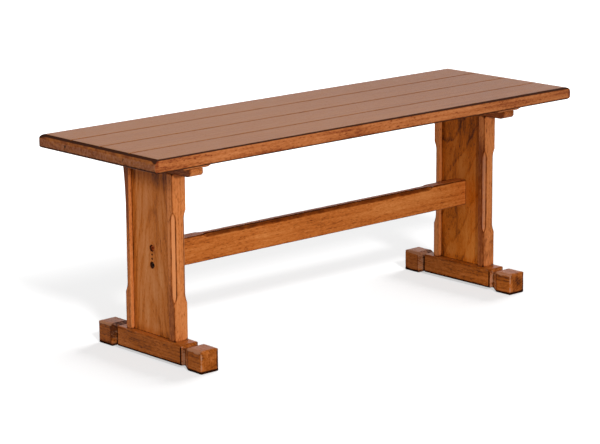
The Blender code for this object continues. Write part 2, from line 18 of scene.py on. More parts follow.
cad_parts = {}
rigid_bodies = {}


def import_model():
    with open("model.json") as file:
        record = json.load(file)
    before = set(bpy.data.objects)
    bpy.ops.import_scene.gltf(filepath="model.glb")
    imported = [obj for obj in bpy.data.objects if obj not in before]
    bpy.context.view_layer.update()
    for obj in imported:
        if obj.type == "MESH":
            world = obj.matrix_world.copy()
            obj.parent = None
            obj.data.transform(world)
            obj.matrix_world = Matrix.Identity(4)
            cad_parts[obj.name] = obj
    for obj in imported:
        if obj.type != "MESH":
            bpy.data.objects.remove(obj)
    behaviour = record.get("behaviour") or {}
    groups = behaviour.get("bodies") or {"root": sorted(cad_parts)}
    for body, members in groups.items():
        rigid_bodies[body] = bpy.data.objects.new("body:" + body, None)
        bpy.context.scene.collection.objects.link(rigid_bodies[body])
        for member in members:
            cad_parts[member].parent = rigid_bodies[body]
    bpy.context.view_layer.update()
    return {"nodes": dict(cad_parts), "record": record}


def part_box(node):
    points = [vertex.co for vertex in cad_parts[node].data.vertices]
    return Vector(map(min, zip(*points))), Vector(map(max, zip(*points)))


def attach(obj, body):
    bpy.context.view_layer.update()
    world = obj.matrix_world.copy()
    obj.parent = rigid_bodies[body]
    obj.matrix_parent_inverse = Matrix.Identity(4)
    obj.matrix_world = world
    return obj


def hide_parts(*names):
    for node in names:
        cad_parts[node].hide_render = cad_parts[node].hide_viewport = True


for existing in list(bpy.data.objects):
    bpy.data.objects.remove(existing)
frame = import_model()

SIDES = {"left": -1, "right": 1}
FACES = {"front": -1, "back": 1}
LEVELS = ("lower", "upper")
BOARD_COUNT = 4

# Sizes that the boxes of the CAD nodes don't give
FIT_GAP = 0.0003
END_ROUND_WIDTH = 0.014
END_ROUND_DROP = 0.0105
END_BOTTOM_ROUND = 0.007
RIGHT_ROUND_DROP = 0.0155
RIGHT_BOTTOM_ROUND = 0.0115
EDGE_ROUND = 0.005
EDGE_BOTTOM_ROUND = 0.004
JOINT_CHAMFER = 0.002
JOINT_BOTTOM_ARRIS = 0.0005
JOINT_SIDE_ARRIS = 0.0003
JOINT_TOP_ARRIS = 0.0004
TONGUE_LENGTH = 0.007
TONGUE_THICKNESS = 0.008
SEAT_CORNER = 0.0022
CLEAT_BEVEL = 0.004
BOLSTER_NOSE = 0.010
STILE_THICKNESS = 0.018
PANEL_THICKNESS = 0.018
PANEL_TONGUE = 0.006
TENON_WIDTH = 0.020
TENON_THICKNESS = 0.008
TENON_SHOULDER = 0.002
FOOT_TENON_LENGTH = 0.025
BOLSTER_TENON_LENGTH = 0.009
STILE_CHAMFER = 0.007
STILE_CHAMFER_LENGTH = 0.195
STILE_CHAMFER_RUNOUT = 0.022
STILE_CHAMFER_ARRIS = 0.0011
LONG_RUNOUT_NODE = "leg_stile_left_back"
LONG_RUNOUT = 0.100
FOOT_BLOCK = 0.043
FOOT_ROUND = 0.005
COLLAR_SLOPE = 0.015
COLLAR_NECK = 0.004
COLLAR_STEP = 0.004
COLLAR_DEPTH = 0.006
FOOT_RELIEF = 0.006
STRETCHER_CHAMFER_WIDTH = 0.008
STRETCHER_CHAMFER_DROP = 0.006
STRETCHER_CHAMFER_INSET = 0.104
STRETCHER_CHAMFER_RUNOUT = 0.020
STRETCHER_CHAMFER_ARRIS = 0.0010
BOLT_DIAMETER = 0.006
COUNTERBORE_DIAMETER = 0.013
COUNTERBORE_DEPTH = 0.008
COUNTERBORE_EASE = 0.0009
NUT_DIAMETER = 0.010
PIN_DIAMETER = 0.004
SCREW_HEAD_DIAMETER = 0.0085
SCREW_HEAD_HEIGHT = 0.003
SCREW_DIAMETER = 0.0045
OVERCUT = 0.002
ARRIS = 0.0012
CHAMFER_EASE_SHARE = 0.45

# Fineness of the swept pieces
ARC_STEPS = 4
ROUND_STEPS = 8
CHAMFER_STEPS = 3
JOINT_STEPS = 2
BOTTOM_STEPS = 5
CORNER_STEPS = 3
FOOT_STEPS = 6
DRILL_SIDES = 32
SIDE_SPACING = 0.007
BOARD_SPACING = 0.010
BAR_SPACING = 0.008
STILE_SPACING = 0.006
STRETCHER_SPACING = 0.007
RUNOUT_SPACING = 0.002
FOOT_SPACING = 0.006
FOOT_BLOCK_SPACING = 0.004
FOOT_SLOPE_SPACING = 0.003
FOOT_MARK = 0.0008
STEP_MARK = 0.002
ROOT_MARK = 0.0014
EDGE_MARKS = (0.0012, 0.003, 0.007)
MARK_SHARE = 0.4
EDGE_FADE = 0.0016
CHAMFER_DIVISIONS = (0.08, 0.2, 0.5, 0.8, 0.92)
CAP_SHARES = (0.7, 0.3)
FOOT_CAP_SHARES = (0.86, 0.72, 0.4)
SMOOTH_LIMIT = math.radians(38)
MERGE = 2e-6
STATION_MERGE = 1e-5
TINY = 1e-9

# How unevenly the faces are planed and the arrises are worn
PLANED = 0.00012
PLANED_PANEL = 0.00015
PLANED_FOOT = 0.0002
WORN = 0.0005
WORN_BAR = 0.0004
WORN_STRETCHER = 0.0006
WORN_FOOT = 0.0009
PLANE_SCALE = 22
WORN_SCALE = 120
DENT_SCALE = 260
DRAWN_OUT = 0.35

# Where the pith of each piece's tree lies: along the grain and two ways across it
CLEAT_PITHS = {"left": (1.7, 0.0, -0.05), "right": (4.4, 0.0, -0.05)}
BOLSTER_PITHS = {"left": (0.6, 0.03, -0.04), "right": (3.1, 0.03, -0.04)}
PANEL_PITHS = {"left": (5.2, 0.004, -0.052), "right": (7.9, -0.062, 0.03)}
FOOT_PITHS = {"left": (8.4, 0.02, -0.03), "right": (10.9, -0.025, 0.02)}
STRETCHER_PITH = (12.5, 0.055, -0.02)

# Glaze, stain, painted shade and a painted sheen. A pair holds the values at which a thing is
# full and at which it has faded out.
GLAZE_FALL = (0.3, 0.75)
GLAZE_RISE = (0.05, 0.45)
CAP_GLAZE = 0.35
TENON_GLAZE = 0.2
END_BAND = 0.88
FRONT_LINE = 0.95
THICK_LINE_FROM = -0.1
THICK_LINE_SPAN = 0.5
END_WEAR = 0.52
EDGE_FACING = 0.7
SKIN = 0.001
SEAT_CORNER_FADE = (0.004, 0.020)
LOWER_LINE_FADE = (0.0004, 0.0016)
SEAT_END_FADE = (0.004, 0.012)
SEAT_EDGE_FADE = (0.003, 0.006)
SEAT_RIGHT_TOP_FADE = (0.1, 0.8)
CLEAT_SHADE_FADE = (0.001, 0.006)
BOLSTER_SHADE_FADE = (0.002, 0.004)
BOLSTER_NOSE_FADE = (0.004, 0.012)
STILE_END_FADE = 0.005
STILE_FLANK_SHADE_FADE = (0.001, 0.003)
STILE_INNER_FADE = (0.0008, 0.002)
STILE_TOP_SHADE_FADE = (0.05, 0.20)
STILE_SWIRL_FADE = (0.11, 0.15)
STILE_SHADE_FADES = {"left": (0.13, 0.25), "right": (0.31, 0.37)}
STILE_BARE = {"left": 0.85, "right": 0.66}
STILE_FLANK = 0.002
PANEL_JOINT_SHADE_FADE = (0.006, 0.014)
PANEL_CLOUD_FADE = (0.1, 1.5)
# Dark clouds in the left panel: strength, middle in Y and Z, and reach in Y and Z
LEFT_PANEL_CLOUDS = ((0.24, 0.007, 0.130, 0.009, 0.040), (0.16, -0.014, 0.350, 0.010, 0.055))
LEFT_PANEL_TOP_SHADE_FADE = (0.012, 0.058)
LEFT_PANEL_FRONT_SHADE_FADE = (0.004, 0.032)
RIGHT_PANEL_SHADE_FLAME_FADE = (0.03, 0.13)
FOOT_BOTTOM_GLAZE_SHADE_FADE = 0.0026
FOOT_TOP_FADE = 0.0024
FOOT_FLANK = 0.002
NECK_BARE_SHEEN_FROM = 0.0015
NECK_BARE_SHEEN_TO = 0.0005
FOOT_CREASE_FADE = (0.0006, 0.0026)
FOOT_CROWN_FADE = (0.002, 0.006)
FOOT_SHOULDER_FADE = (0.0009, 0.002)
FOOT_ROOT_FADE = (0.0012, 0.0028)
FOOT_RIDGE_FADE = (0.18, 0.46)
FOOT_SHADE_FADE = (0.008, 0.026)
FOOT_FRONT_FADE = (0.001, 0.004)


def fading(value, full, none):
    """1 up to one value and 0 from another, with a smooth fall between."""
    share = min(1, max(0, (value - full) / (none - full)))
    return 1 - share * share * (3 - 2 * share)


def cloud(*place):
    return noise.noise(Vector(place))


def steps_between(start, end, spacing):
    """Evenly spaced values from start to end."""
    count = max(1, round(abs(end - start) / spacing))
    return [start + (end - start) * i / count for i in range(count + 1)]


def merged(values):
    """Sorted values without near repeats."""
    kept = []
    for value in sorted(values):
        if not kept or value - kept[-1] > STATION_MERGE:
            kept.append(value)
    return kept


def mirrored(values):
    return merged([-value for value in values] + values)


def easing(steps):
    """(1 - sine, 1 - cosine) pairs over a quarter turn."""
    turns = [math.pi / 2 * i / steps for i in range(steps + 1)]
    return [(1 - math.sin(turn), 1 - math.cos(turn)) for turn in turns]


def eased_marks(reach, steps):
    """Distances from an end that draw a round of this reach."""
    return [reach * a for a, b in easing(steps)]


def rounded_inset(distance, reach, drop):
    """How far an elliptical round-over has dropped, at a distance from the end of the piece."""
    share = min(1, max(0, 1 - distance / reach))
    return drop * (1 - math.sqrt(1 - share * share))


def scoop(distance, depth, runout):
    """Depth of a stopped chamfer, at a distance inwards from where it runs out."""
    radius = (depth**2 + runout**2) / (2 * depth)
    rest = min(runout, max(0, runout - distance))
    return depth - (radius - math.sqrt(radius**2 - rest**2))


def middle_of(node):
    low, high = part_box(node)
    return (low + high) / 2


def put(name, data):
    """Adds an object to the scene."""
    made = bpy.data.objects.new(name, data)
    bpy.context.scene.collection.objects.link(made)
    return made


def mesh_of(shape, name):
    mesh = bpy.data.meshes.new(name)
    shape.to_mesh(mesh)
    shape.free()
    return mesh


def bridge(shape, lower, upper):
    """Faces between two rings of vertices."""
    count = len(lower)
    for i in range(count):
        j = (i + 1) % count
        shape.faces.new((lower[i], lower[j], upper[j], upper[i]))


class Corner(NamedTuple):
    """A corner of a section, eased by an arc that starts and ends at a reach from it."""

    across: float
    up: float
    glaze: float = 0.0
    wear: float = 0.0
    reach: float = ARRIS
    steps: int = ARC_STEPS
    glaze_after: float = -1.0
    side_glaze: float = 0.0
    side_wear: float = 0.0
    fade: float = EDGE_FADE
    divisions: tuple = ()

    def glaze_at(self, share):
        """Glaze along the arc, which may change to another value towards its far end."""
        if self.glaze_after < 0:
            return self.glaze
        limits = GLAZE_FALL if self.glaze_after < self.glaze else GLAZE_RISE
        return self.glaze_after + (self.glaze - self.glaze_after) * fading(share, *limits)


def corner_arcs(corners):
    """The arc of points that eases each corner of a closed section."""
    arcs = []
    for i, corner in enumerate(corners):
        here = Vector(corner[:2])
        if corner.steps == 0:
            arcs.append([here])
            continue
        back = (Vector(corners[i - 1][:2]) - here).normalized() * corner.reach
        ahead = (Vector(corners[(i + 1) % len(corners)][:2]) - here).normalized() * corner.reach
        arcs.append([here + back * a + ahead * b for a, b in easing(corner.steps)])
    return arcs


def side_shares(corners):
    """Where each side between two corners is divided, as shares of its length."""
    arcs = corner_arcs(corners)
    shares = []
    for i, arc in enumerate(arcs):
        if corners[i].divisions:
            shares.append(corners[i].divisions)
            continue
        length = (arcs[(i + 1) % len(arcs)][0] - arc[-1]).length
        marks = [mark for mark in EDGE_MARKS if mark < MARK_SHARE * length]
        places = []
        if marks:
            span = length - 2 * marks[-1]
            count = max(1, round(span / SIDE_SPACING))
            inner = [marks[-1] + span * k / count for k in range(1, count)]
            places = marks + inner + [length - mark for mark in reversed(marks)]
        shares.append([place / length for place in places])
    return shares


def ring_points(corners, shares=None):
    """(across, up, glaze, wear) round a section."""
    shares = shares or side_shares(corners)
    arcs = corner_arcs(corners)
    ring = []
    for i, corner in enumerate(corners):
        following = (i + 1) % len(corners)
        for k, point in enumerate(arcs[i]):
            ring.append((point.x, point.y, corner.glaze_at(k / max(1, corner.steps)), corner.wear))
        start, end = arcs[i][-1], arcs[following][0]
        length = (end - start).length
        for share in shares[i]:
            point = start.lerp(end, share)
            near = math.exp(-share * length / corner.fade)
            far = math.exp((share - 1) * length / corners[following].fade)
            glaze = corner.glaze_at(1) * near + corners[following].glaze_at(0) * far
            wear = corner.wear * near + corners[following].wear * far
            ring.append((point.x, point.y, max(glaze, corner.side_glaze), max(wear, corner.side_wear)))
    return ring


class Wood:
    """A wooden piece while it is made: its mesh, what is cut from it, and how its grain lies."""

    def __init__(self, node, slot, axis, pith, finish=None):
        self.node = node
        self.slot = slot
        self.material = WOODS[finish or slot]
        self.axis = axis
        self.pith = Vector(pith)
        self.seed = Vector((sum(map(ord, node)) % 97, len(node), sum(map(ord, node)) % 89))
        self.shape = bmesh.new()
        layers = self.shape.verts.layers.float
        self.glaze, self.wear, self.tone = [layers.new(name) for name in ("glaze", "wear", "tone")]
        self.cutter = bmesh.new()

    def ring(self, s, points):
        """Vertices of a section at s along the piece."""
        verts = []
        for across, up, glaze, wear in points:
            place = [across, up]
            place.insert(self.axis, s)
            vert = self.shape.verts.new(place)
            vert[self.glaze] = min(glaze, 1)
            vert[self.wear] = min(wear, 1)
            verts.append(vert)
        return verts

    def cap(self, ring, shares):
        """Closes an end with rings that shrink towards its middle."""
        middle = sum((vert.co for vert in ring), Vector()) / len(ring)
        for share in shares:
            inner = []
            for vert in ring:
                made = self.shape.verts.new(middle.lerp(vert.co, share))
                made[self.glaze] = CAP_GLAZE
                inner.append(made)
            bridge(self.shape, ring, inner)
            ring = inner
        self.shape.faces.new(ring)

    def sweep(self, sections, cap_shares=()):
        """Builds the piece from (s, ring points) pairs."""
        rings = [self.ring(s, points) for s, points in sections]
        for lower, upper in zip(rings, rings[1:]):
            bridge(self.shape, lower, upper)
        self.cap(rings[0], cap_shares)
        self.cap(rings[-1], cap_shares)
        bmesh.ops.remove_doubles(self.shape, verts=self.shape.verts, dist=MERGE)
        bmesh.ops.dissolve_degenerate(self.shape, edges=self.shape.edges, dist=MERGE)
        bmesh.ops.recalc_face_normals(self.shape, faces=self.shape.faces)

    def paint(self, tone_at):
        """Lightens or darkens the colour by place: stain, and painted light and shade."""
        for vert in self.shape.verts:
            vert[self.tone] = tone_at(vert.co)

    def roughen(self, flat, edge):
        """Planes the faces a little unevenly and knocks back the arrises, always inwards."""
        self.shape.normal_update()
        long_way = Vector((1, 1, 1))
        long_way[self.axis] = DRAWN_OUT
        moves = []
        for vert in self.shape.verts:
            place = vert.co * long_way
            slow = noise.noise(place * PLANE_SCALE + self.seed)
            quick = noise.noise(place * WORN_SCALE + self.seed)
            dent = noise.noise(place * DENT_SCALE - self.seed)
            amount = flat * (0.5 + 0.5 * slow)
            amount += edge * vert[self.wear] * (max(0, quick) + 0.5 * max(0, dent))
            moves.append(vert.normal * amount)
        for vert, move in zip(self.shape.verts, moves):
            vert.co -= move

    def drill(self, start, direction, profile):
        """Adds a turned hole to the cutter: profile pairs of (distance along, radius)."""
        direction = Vector(direction).normalized()
        side = direction.orthogonal().normalized()
        other = direction.cross(side)
        rings = []
        for distance, radius in profile:
            centre = Vector(start) + direction * distance
            ring = []
            for i in range(DRILL_SIDES):
                turn = 2 * math.pi * (i + 0.5) / DRILL_SIDES
                offset = side * math.cos(turn) + other * math.sin(turn)
                ring.append(self.cutter.verts.new(centre + offset * radius))
            rings.append(ring)
        for lower, upper in zip(rings, rings[1:]):
            bridge(self.cutter, lower, upper)
        self.cutter.faces.new(rings[0])
        self.cutter.faces.new(rings[-1])

    def mortise(self, low, high):
        """Adds a box to the cutter."""
        middle = (Vector(low) + Vector(high)) / 2
        size = Vector(high) - Vector(low)
        place = Matrix.Translation(middle) @ Matrix.Diagonal((*size, 1))
        bmesh.ops.create_cube(self.cutter, size=1, matrix=place)

    def finish(self):
        name = f"{self.node}_wood"
        piece = put(name, mesh_of(self.shape, name))
        piece.data.materials.append(self.material)
        if len(self.cutter.verts):
            self.cut(piece)
        mesh = piece.data
        self.write_grain(mesh)
        mesh.shade_smooth()
        mesh.set_sharp_from_angle(angle=SMOOTH_LIMIT)
        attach(piece, "root")
        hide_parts(self.node)
        return piece

    def cut(self, piece):
        bmesh.ops.recalc_face_normals(self.cutter, faces=self.cutter.faces)
        tool_mesh = mesh_of(self.cutter, "holes")
        tool_mesh.materials.append(BORED_WOOD)
        tool = put("holes", tool_mesh)
        boolean = piece.modifiers.new("holes", "BOOLEAN")
        boolean.object = tool
        boolean.operation = "DIFFERENCE"
        boolean.solver = "MANIFOLD"
        boolean.material_mode = "TRANSFER"
        bpy.context.view_layer.update()
        graph = bpy.context.evaluated_depsgraph_get()
        whole = piece.data
        piece.data = bpy.data.meshes.new_from_object(piece.evaluated_get(graph))
        piece.data.name = piece.name
        piece.modifiers.clear()
        bpy.data.meshes.remove(whole)
        bpy.data.objects.remove(tool)
        bpy.data.meshes.remove(tool_mesh)

    def write_grain(self, mesh):
        order = ((0, 1, 2), (1, 0, 2), (2, 1, 0))[self.axis]
        grain = mesh.attributes.new("grain", "FLOAT_VECTOR", "POINT")
        values = []
        for vert in mesh.vertices:
            values += [vert.co[order[k]] + self.pith[k] for k in range(3)]
        grain.data.foreach_set("vector", values)


# Materials

WHITE = (1, 1, 1, 1)
WARM_TINT = (0.50, 0.38, 0.25, 1)
BASE_TONE = 0.58
MASK_GAIN = 6.0


def srgb(levels):
    """A colour as linear light, from the 0 to 255 levels that it shows as."""
    shares = [level / 255 for level in levels]
    linear = [s / 12.92 if s <= 0.04045 else ((s + 0.055) / 1.055) ** 2.4 for s in shares]
    return (*linear, 1)


def grey(level):
    return (level, level, level, 1)


class Graph:
    """A node tree while it is filled. Each input is a value or a socket to link."""

    def __init__(self, owner):
        owner.use_nodes = True
        self.tree = owner.node_tree
        self.tree.nodes.clear()

    def add(self, kind, inputs=None, **settings):
        made = self.tree.nodes.new(f"ShaderNode{kind}")
        for key, value in settings.items():
            setattr(made, key, value)
        for key, value in (inputs or {}).items():
            if isinstance(value, bpy.types.NodeSocket):
                self.tree.links.new(value, made.inputs[key])
            else:
                made.inputs[key].default_value = value
        return made

    def show(self, shader, output="OutputMaterial"):
        self.add(output, {"Surface": shader.outputs[0]})

    def calc(self, operation, first, second=0.0, clamp=False):
        """A Math node's result."""
        made = self.add("Math", {0: first, 1: second}, operation=operation, use_clamp=clamp)
        return made.outputs[0]

    def vector(self, operation, first, second):
        """A Vector Math node's result."""
        return self.add("VectorMath", {0: first, 1: second}, operation=operation).outputs[0]

    def length(self, vector):
        return self.add("VectorMath", {0: vector}, operation="LENGTH").outputs["Value"]

    def summed(self, value, *terms):
        """A value with (term - middle) * strength added for each (term, middle, strength)."""
        for term, middle, strength in terms:
            centred = self.calc("SUBTRACT", term, middle)
            value = self.calc("ADD", value, self.calc("MULTIPLY", centred, strength))
        return value

    def spread(self, value, low, high, to_low=0.0, to_high=1.0):
        """A value's range stretched to another, smoothly."""
        inputs = {"Value": value, "From Min": low, "From Max": high, "To Min": to_low, "To Max": to_high}
        return self.add("MapRange", inputs, interpolation_type="SMOOTHSTEP").outputs["Result"]

    def attribute(self, name, output="Fac"):
        made = self.add("Attribute", attribute_name=name, attribute_type="GEOMETRY")
        return made.outputs[output]

    def place(self):
        return self.add("TexCoord").outputs["Object"]

    def clouds(self, scale, detail):
        """Noise that is alike in all directions."""
        inputs = {"Vector": self.place(), "Scale": scale, "Detail": detail}
        return self.add("TexNoise", inputs).outputs["Fac"]

    def streaks(self, vector, scale, detail=2.0, roughness=0.55, output="Fac"):
        """Noise that is drawn out along the grain; scale counts features a metre along u, v and w."""
        stretched = self.vector("MULTIPLY", vector, scale)
        inputs = {"Vector": stretched, "Scale": 1.0, "Detail": detail, "Roughness": roughness}
        return self.add("TexNoise", inputs).outputs[output]

    def ramp(self, value, *stops):
        made = self.add("ValToRGB", {"Fac": value})
        elements = made.color_ramp.elements
        while len(elements) < len(stops):
            elements.new(0.5)
        for element, (place, colour) in zip(elements, stops):
            element.position = place
            element.color = colour
        return made.outputs["Color"]

    def mix(self, share, first, second, blend="MIX"):
        """Two colours mixed; 6 and 7 are the colour inputs of a Mix node."""
        inputs = {0: share, 6: first, 7: second}
        return self.add("Mix", inputs, data_type="RGBA", blend_type=blend).outputs[2]

    def bump(self, height, strength, distance):
        inputs = {"Height": height, "Strength": strength, "Distance": distance}
        return self.add("Bump", inputs).outputs["Normal"]

    def edge_mask(self, grain, name, scale, patchiness, limits):
        """Where a finish lies: an attribute broken up by noise, and nothing where it is zero."""
        near = self.attribute(name)
        uneven = self.streaks(grain, scale, 4.0, 0.65)
        mask = self.spread(self.summed(near, (uneven, 0.5, patchiness)), *limits)
        return self.calc("MULTIPLY", mask, self.calc("MULTIPLY", near, MASK_GAIN, clamp=True))

    def backdrop_rays(self):
        """1 for rays that show the background, to the camera or in a reflection, and 0 for the light."""
        path = self.add("LightPath").outputs
        shown = self.calc("ADD", path["Is Camera Ray"], path["Is Glossy Ray"])
        return self.calc("ADD", shown, path["Is Transmission Ray"], clamp=True)


class Finish(NamedTuple):
    """How one kind of wood is stained. Colours are 0 to 255 levels."""

    dark: tuple
    middle: tuple
    light: tuple
    glaze: tuple
    bared: tuple
    ring_spacing: float
    ring_strength: float
    taper: float
    warp: float
    band: float
    streak: float
    fibre: float
    fleck: float
    blotch: float
    mottle: float
    roughness: float = 0.42
    specular: float = 0.08
    line: float = 0.45
    wear_break: float = 0.9


def wood_material(name, finish):
    """Stained wood: rings round a pith, fibres, pores and flecks, with glaze and wear at its arrises."""
    material = bpy.data.materials.new(name)
    graph = Graph(material)
    grain = graph.attribute("grain", "Vector")
    wander = graph.streaks(grain, (4.5, 16, 16), 3.0, 0.5, "Color")
    centred = graph.vector("SUBTRACT", wander, (0.5, 0.5, 0.5))
    shift = graph.vector("MULTIPLY", centred, (0, finish.warp, finish.warp))
    wood = graph.vector("ADD", grain, shift)

    radius = graph.length(graph.vector("MULTIPLY", wood, (0, 1, 1)))
    along = graph.add("SeparateXYZ", {0: wood}).outputs[0]
    tapered = graph.calc("ADD", radius, graph.calc("MULTIPLY", along, finish.taper))
    phase = graph.calc("FRACT", graph.calc("DIVIDE", tapered, finish.ring_spacing))
    peak = 0.77 + 0.2 * finish.line
    ring = graph.ramp(phase, (0, grey(0.1)), (finish.line, grey(0.22)), (peak, grey(1)), (1, grey(0.1)))

    band = graph.streaks(wood, (1.3, 52, 52), 2.0, 0.5)
    streak = graph.streaks(wood, (5, 190, 190), 2.0, 0.5)
    fibre = graph.streaks(wood, (26, 620, 620), 3.0, 0.6)
    pores = graph.spread(graph.streaks(wood, (60, 1700, 1700), 1.0), 0.60, 0.72)
    flecks = graph.spread(graph.streaks(wood, (105, 500, 500)), 0.58, 0.70)
    blotch = graph.streaks(grain, (8, 30, 30), 3.0, 0.5)
    mottle = graph.streaks(wood, (110, 300, 300), 2.0, 0.6)

    tone = graph.summed(
        graph.calc("ADD", BASE_TONE, graph.attribute("tone")),
        (ring, 0.4, -finish.ring_strength),
        (band, 0.5, finish.band),
        (streak, 0.5, finish.streak),
        (fibre, 0.5, finish.fibre),
        (blotch, 0.5, finish.blotch),
        (mottle, 0.5, finish.mottle),
        (flecks, 0.0, -finish.fleck),
        (pores, 0.0, -0.6 * finish.fleck),
    )
    stops = ((0.05, srgb(finish.dark)), (0.5, srgb(finish.middle)), (1.0, srgb(finish.light)))
    stained = graph.ramp(tone, *stops)

    glaze = graph.edge_mask(grain, "glaze", (38, 90, 90), 0.5, (0.15, 0.85))
    warm = graph.mix(graph.spread(glaze, 0.0, 0.6), stained, WARM_TINT, "MULTIPLY")
    glazed = graph.mix(graph.spread(glaze, 0.4, 1.0), warm, srgb(finish.glaze))
    wear = graph.edge_mask(grain, "wear", (45, 160, 160), finish.wear_break, (0.35, 0.8))
    bared = graph.mix(graph.calc("MULTIPLY", fibre, 0.35), srgb(finish.bared), stained)

    dulled = ((fibre, 0.5, 0.25), (pores, 0.0, 0.12), (glaze, 0.0, 0.4), (wear, 0.0, 0.15))
    height = graph.summed(0.0, (fibre, 0.0, 0.5), (pores, 0.0, -0.4), (flecks, 0.0, -0.3))
    unglazed = graph.calc("SUBTRACT", 1.0, glaze)
    inputs = {
        "Base Color": graph.mix(wear, glazed, bared),
        "Roughness": graph.calc("ADD", graph.summed(finish.roughness, *dulled), 0.0, clamp=True),
        "Normal": graph.bump(height, 0.35, 0.0004),
        "Specular IOR Level": graph.calc("MULTIPLY", unglazed, finish.specular),
    }
    graph.show(graph.add("BsdfPrincipled", inputs))
    return material


def steel_material(name, dark, light, roughness):
    """Fastener steel, dulled unevenly."""
    material = bpy.data.materials.new(name)
    graph = Graph(material)
    dull = graph.clouds(420.0, 4.0)
    inputs = {
        "Base Color": graph.ramp(dull, (0.3, srgb(dark)), (0.7, srgb(light))),
        "Roughness": graph.summed(roughness, (dull, 0.5, 0.4)),
        "Metallic": 1.0,
        "Normal": graph.bump(graph.clouds(2600.0, 2.0), 0.25, 0.0002),
    }
    graph.show(graph.add("BsdfPrincipled", inputs))
    return material


def bored_material(name, dark, light):
    """The stained wall of a drilled hole."""
    material = bpy.data.materials.new(name)
    graph = Graph(material)
    torn = graph.clouds(700.0, 4.0)
    inputs = {
        "Base Color": graph.ramp(torn, (0.3, srgb(dark)), (0.7, srgb(light))),
        "Roughness": 0.7,
        "Specular IOR Level": 0.05,
        "Normal": graph.bump(torn, 0.4, 0.0004),
    }
    graph.show(graph.add("BsdfPrincipled", inputs))
    return material


FINISHES = {
    "seat_wood": Finish(
        dark=(122, 62, 26), middle=(172, 102, 46), light=(196, 127, 66),
        glaze=(72, 43, 31), bared=(172, 114, 84),
        ring_spacing=0.0065, ring_strength=0.12, taper=0.006, warp=0.010,
        band=0.11, streak=0.11, fibre=0.32, fleck=0.10, blotch=0.14, mottle=0.25,
        specular=0.05,
    ),
    "leg_wood": Finish(
        dark=(126, 60, 18), middle=(202, 118, 59), light=(222, 146, 90),
        glaze=(70, 32, 14), bared=(213, 137, 86),
        ring_spacing=0.0055, ring_strength=0.15, taper=0.008, warp=0.010,
        band=0.4, streak=0.3, fibre=0.4, fleck=0.4, blotch=0.45, mottle=0.7,
    ),
    "panel_wood": Finish(
        dark=(106, 50, 10), middle=(192, 106, 36), light=(214, 140, 84),
        glaze=(56, 28, 16), bared=(206, 146, 108),
        ring_spacing=0.0090, ring_strength=0.26, taper=0.080, warp=0.016,
        band=0.7, streak=0.4, fibre=0.45, fleck=0.25, blotch=0.8, mottle=0.4,
    ),
    "right_panel": Finish(
        dark=(74, 28, 2), middle=(188, 97, 18), light=(206, 124, 52),
        glaze=(64, 28, 10), bared=(206, 146, 108),
        ring_spacing=0.048, ring_strength=0.28, taper=-0.6, warp=0.085,
        band=0.8, streak=0.4, fibre=0.45, fleck=0.30, blotch=0.75, mottle=0.45,
        specular=0.06, line=0.75,
    ),
    "stretcher": Finish(
        dark=(114, 48, 8), middle=(192, 104, 40), light=(216, 134, 68),
        glaze=(66, 30, 12), bared=(206, 136, 90),
        ring_spacing=0.0060, ring_strength=0.18, taper=0.008, warp=0.012,
        band=0.55, streak=0.4, fibre=0.45, fleck=0.34, blotch=0.8, mottle=0.75,
        specular=0.06,
    ),
    "foot_wood": Finish(
        dark=(80, 34, 4), middle=(158, 81, 18), light=(188, 108, 50),
        glaze=(42, 20, 10), bared=(178, 124, 92),
        ring_spacing=0.006, ring_strength=0.22, taper=0.010, warp=0.012,
        band=0.7, streak=0.4, fibre=0.45, fleck=0.4, blotch=1.2, mottle=0.9,
        wear_break=1.7,
    ),
}
FINISHES["seat_edge"] = FINISHES["seat_wood"]._replace(
    dark=(112, 46, 20), middle=(174, 99, 51), light=(196, 122, 72),
    streak=0.25, fibre=0.5, fleck=0.45, blotch=0.55, mottle=1.0,
)
FINISHES["right_stile"] = FINISHES["leg_wood"]._replace(bared=(172, 114, 84))
WOODS = {name: wood_material(f"{name}_grain", finish) for name, finish in FINISHES.items()}
BORED_WOOD = bored_material("bored_wood", (44, 18, 9), (104, 48, 24))
STEELS = {
    "dark_steel": steel_material("dark_steel_oxide", (30, 18, 12), (64, 44, 32), 0.48),
    "rusty_steel": steel_material("dark_steel_rust", (122, 46, 12), (166, 78, 30), 0.6),
    "pin_steel": steel_material("dark_steel_pin", (13, 7, 4), (30, 18, 12), 0.7),
    "zinc_steel": steel_material("zinc_steel_plate", (150, 150, 148), (204, 204, 200), 0.36),
}
RUSTY_BOLTS = ("stretcher_bolt_left_upper", "stretcher_bolt_right_upper")

# Holes


def plain_hole(diameter, depth):
    """Profile of a hole for a fastener, from just outside the wood to its depth."""
    radius = diameter / 2 + FIT_GAP
    return [(-OVERCUT, radius), (depth, radius)]


def screw_hole(wood, node):
    """Cuts the hole of a countersunk screw that is driven up from below."""
    low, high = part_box(node)
    middle = middle_of(node)
    head = SCREW_HEAD_DIAMETER / 2 + FIT_GAP
    shank = SCREW_DIAMETER / 2 + FIT_GAP
    length = high.z - low.z + FIT_GAP
    profile = [(-OVERCUT, head), (0, head), (SCREW_HEAD_HEIGHT, shank), (length, shank)]
    wood.drill((middle.x, middle.y, low.z), (0, 0, 1), profile)


def tenon_middle(stile):
    """X and Y of the middle of a stile's tenons."""
    low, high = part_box(stile)
    toward = 1 if low.y + high.y > 0 else -1
    outer = high.y if toward > 0 else low.y
    return (low.x + high.x) / 2, outer - toward * (TENON_SHOULDER + TENON_THICKNESS / 2)


def tenon_hole(wood, stile, bottom, top):
    x, y = tenon_middle(stile)
    half_x, half_y = TENON_WIDTH / 2 + FIT_GAP, TENON_THICKNESS / 2 + FIT_GAP
    wood.mortise((x - half_x, y - half_y, bottom), (x + half_x, y + half_y, top))


# Seat


